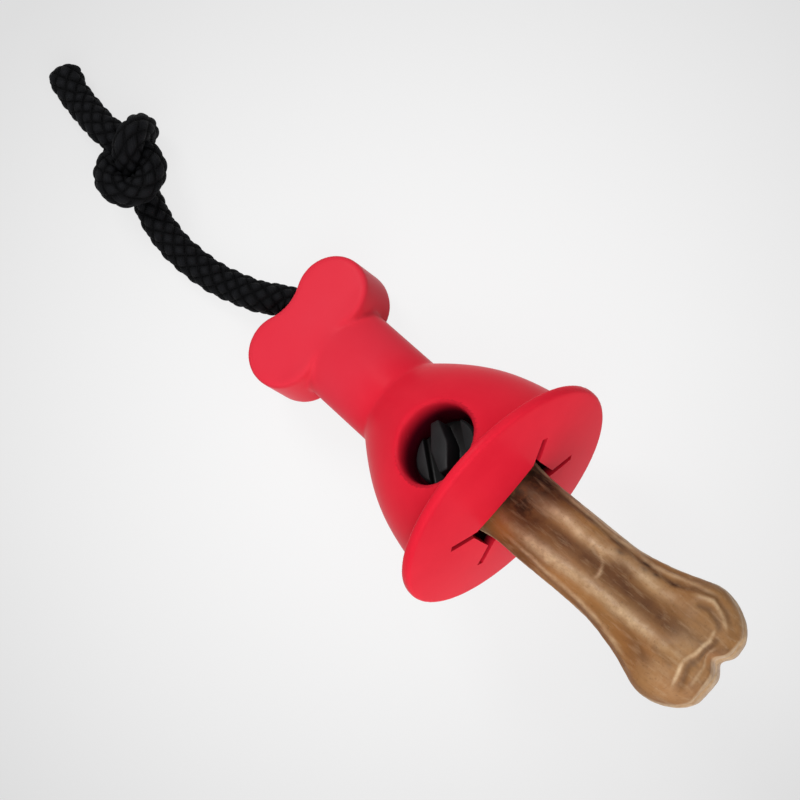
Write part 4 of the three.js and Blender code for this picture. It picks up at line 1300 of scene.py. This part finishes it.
class CHEWHOLDER_OT_rope(bpy.types.Operator):
    """Lays the braided rope with its overhand knot and its hidden end in the handle"""

    bl_idname = "chewholder.rope"
    bl_label = "Lay Rope"

    def execute(self, context):
        rope = context.scene.rope
        material = rope_finish(rope)
        leaves = HOLDER @ Vector((-rope.exit_place, 0, 0))
        points, knot_span = self.free_route(leaves)
        stations = smooth_route(points, ROPE_STEP)
        route = [place for place, _ in stations]
        radii = self.free_radii(stations, knot_span, rope)
        free = rope_piece("rope", *braided_tube(route, radii, rope, 112), material)
        length = sum((b - a).length for a, b in zip(route, route[1:]))
        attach(free, "holder")
        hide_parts("rope_run", "rope_end_knot", "rope_tail")
        self.hidden_end(rope, material)
        return {"FINISHED"}

    @staticmethod
    def free_radii(stations, knot_span, rope):
        """The rope's radius at each station: pulled tight in the knot, swollen and sealed at the cut end."""
        first, last = knot_span
        radii = []
        for index, (_, at) in enumerate(stations):
            tight = smooth_step(first - 1, first + 2, at) * (1 - smooth_step(last - 2, last + 1, at))
            to_end = (len(stations) - 1 - index) * ROPE_STEP
            sealed = 1 - min(1.0, to_end / rope.sealed_end)
            swollen = 1 + 0.10 * smooth_step(0.010, 0.003, to_end)
            shrink = math.sqrt(1 - 0.97 * sealed ** 2.4)
            radii.append(rope.diameter / 2 * (1 - (1 - rope.knot_share) * tight) * swollen * shrink)
        return radii

    @staticmethod
    def free_route(leaves):
        """Route points from the exit through the knot to the cut end, and the knot's place among them."""
        def on_floor(x, y, height):
            return Vector((leaves.x + x / 1000, leaves.y + y / 1000, height / 1000))

        onward = Vector((math.cos(KNOT_HEADING), math.sin(KNOT_HEADING), 0))
        across = onward.cross(Vector((0, 0, 1)))
        middle = on_floor(*KNOT_MIDDLE)
        knot = [middle + (across * v + onward * u + Vector((0, 0, w))) / 1000 for v, u, w in KNOT]
        run = [leaves.copy()] + [on_floor(*p) for p in RUN[1:]]
        points = run + knot + [on_floor(*p) for p in TAIL]
        return points, (len(run), len(run) + len(knot) - 1)

    @staticmethod
    def hidden_end(rope, material):
        """The rope in the handle's bore and the stop knot in the stem."""
        start, step_length, steps = GAP - rope.exit_place, 0.0005, 60
        bore = [HOLDER @ Vector((start + step_length * step, 0, 0)) for step in range(steps)]
        core = braided_tube(bore, [rope.diameter / 2] * steps, rope, 56)
        knot_radius, turns, sway, steps = 0.0046, 2.15, 0.0042, 190
        middle = -rope.stop_front - rope.stop_length / 2
        ring_radius = rope.stop_radius - 0.0048
        knot = []
        for step in range(steps):
            turn = math.tau * turns * step / (steps - 1)
            lift = sway * math.cos(turn * 0.465)
            spot = Vector((middle + lift, ring_radius * math.cos(turn), ring_radius * math.sin(turn)))
            knot.append(HOLDER @ spot)
        stop = braided_tube(knot, [knot_radius] * steps, rope, 48)
        pieces = [
            (rope_piece("rope_in_handle", *core, material), "rope_core"),
            (rope_piece("stop_knot", *stop, material), "rope_stop_knot"),
        ]
        for piece, node in pieces:
            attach(piece, "holder")
            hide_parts(node)


# The stage


class CHEWHOLDER_OT_stage(bpy.types.Operator):
    """Sets the pale floor, the soft studio light and the camera"""

    bl_idname = "chewholder.stage"
    bl_label = "Set Stage"

    def execute(self, context):
        stage = context.scene.stage
        scene = context.scene
        scene.view_settings.view_transform = "Standard"
        self.floor(stage)
        self.lights(scene)
        self.camera(scene, stage)
        return {"FINISHED"}

    @staticmethod
    def floor(stage):
        """A pale round floor that the camera and reflections see evenly lit, with the object's shadow."""
        radius, level = 3.0, -0.0002
        near, far, fall = 0.045, 0.18, 1.25
        grey, even_share = (0.55, 0.55, 0.55), 0.86
        bm = bmesh.new()
        bmesh.ops.create_circle(bm, cap_ends=True, cap_tris=False, segments=96, radius=radius)
        bmesh.ops.translate(bm, verts=bm.verts, vec=(0, 0, level))
        floor = as_object(bm, "floor", smooth=False)
        finish = Finish("pale_floor")
        ends = [finish.place(), stage.aim]
        away = finish.node("ShaderNodeVectorMath", {"operation": "DISTANCE"}, ends, "Value")
        tone = finish.mixed(finish.between(away, near, far) ** fall, stage.floor_middle, stage.floor_edge)
        matt = finish.node("ShaderNodeBsdfDiffuse", inputs={"Color": grey}, output="BSDF")
        lit = finish.node("ShaderNodeEmission", inputs={"Color": tone, "Strength": 1.0}, output="Emission")
        seen = finish.node("ShaderNodeLightPath", output="Is Camera Ray")
        mirrored = finish.node("ShaderNodeLightPath", output="Is Glossy Ray")
        through = finish.node("ShaderNodeLightPath", output="Is Transmission Ray")
        share = finish.between(seen + mirrored + through, 0.0, 1.0, 0.0, even_share)
        mixed = finish.node("ShaderNodeMixShader", inputs=[share, matt, lit], output="Shader")
        finish.node("ShaderNodeOutputMaterial", inputs={"Surface": mixed})
        floor.data.materials.append(finish.material)

    @staticmethod
    def lights(scene):
        """Three softboxes and a dim even surround."""
        middle = Vector((-0.03, 0, 0.03))
        world = bpy.data.worlds.new("studio")
        scene.world = world
        world.use_nodes = True
        background = world.node_tree.nodes["Background"]
        background.inputs["Color"].default_value = (1.0, 1.0, 1.0, 1.0)
        background.inputs["Strength"].default_value = 0.18
        softboxes = [
            ("key_softbox", (-0.90, 0.28, 0.90), 0.45, 8.5),
            ("fill_softbox", (0.77, -0.55, 0.89), 1.7, 20.0),
            ("top_softbox", (0.25, 0.35, 1.25), 0.8, 2.2),
        ]
        for name, place, size, watts in softboxes:
            lamp = bpy.data.lights.new(name, "AREA")
            lamp.size = size
            lamp.energy = watts
            obj = bpy.data.objects.new(name, lamp)
            obj.location = place
            obj.rotation_euler = (middle - Vector(place)).to_track_quat("-Z", "Y").to_euler()
            scene.collection.objects.link(obj)

    @staticmethod
    def camera(scene, stage):
        """A camera that looks at the aim from the photograph's side."""
        lens = bpy.data.cameras.new("camera")
        lens.lens = stage.lens
        lens.sensor_width = 36.0
        lens.clip_start, lens.clip_end = 0.01, 20.0
        camera = bpy.data.objects.new("camera", lens)
        flat = math.cos(stage.elevation)
        x, y = flat * math.cos(stage.azimuth), flat * math.sin(stage.azimuth)
        back = Vector((x, y, math.sin(stage.elevation)))
        level = Vector((1, 0, 0)) - back * back.x
        level.normalize()
        up = back.cross(level)
        right = level * math.cos(stage.roll) + up * math.sin(stage.roll)
        place = Vector(stage.aim) + back * stage.distance
        camera.matrix_world = axes(right, back.cross(right), back, place)
        scene.collection.objects.link(camera)
        scene.camera = camera


class CHEWHOLDER_PT_panel(bpy.types.Panel):
    """Lists the holder's sizes and its builders"""

    bl_idname = "CHEWHOLDER_PT_panel"
    bl_label = "Chew Holder"
    bl_space_type = "VIEW_3D"
    bl_region_type = "UI"
    bl_category = "Chew Holder"

    def draw(self, context):
        for group, operator in BUILDERS:
            box = self.layout.box()
            box.operator(operator.bl_idname)
            settings = getattr(context.scene, group)
            for name in settings.bl_rna.properties.keys():
                if name not in ("rna_type", "name"):
                    box.prop(settings, name)


GROUPS = {
    "rubber_body": RubberBodySettings,
    "clamp_knob": ClampKnobSettings,
    "rawhide_chew": ChewSettings,
    "rope": RopeSettings,
    "stage": StageSettings,
}
BUILDERS = [
    ("stage", CHEWHOLDER_OT_stage),
    ("rope", CHEWHOLDER_OT_rope),
    ("rubber_body", CHEWHOLDER_OT_rubber_body),
    ("clamp_knob", CHEWHOLDER_OT_clamp_knob),
    ("rawhide_chew", CHEWHOLDER_OT_rawhide_chew),
]


def register():
    for name, group in GROUPS.items():
        bpy.utils.register_class(group)
        setattr(bpy.types.Scene, name, PointerProperty(type=group))
    for _, operator in BUILDERS:
        bpy.utils.register_class(operator)
    bpy.utils.register_class(CHEWHOLDER_PT_panel)


def unregister():
    bpy.utils.unregister_class(CHEWHOLDER_PT_panel)
    for _, operator in reversed(BUILDERS):
        bpy.utils.unregister_class(operator)
    for name, group in GROUPS.items():
        delattr(bpy.types.Scene, name)
        bpy.utils.unregister_class(group)


def main():
    register()
    bpy.ops.chewholder.stage()
    bpy.ops.chewholder.rope()
    bpy.ops.chewholder.rubber_body()
    bpy.ops.chewholder.clamp_knob()
    bpy.ops.chewholder.rawhide_chew()


if __name__ == "__main__":
    main()
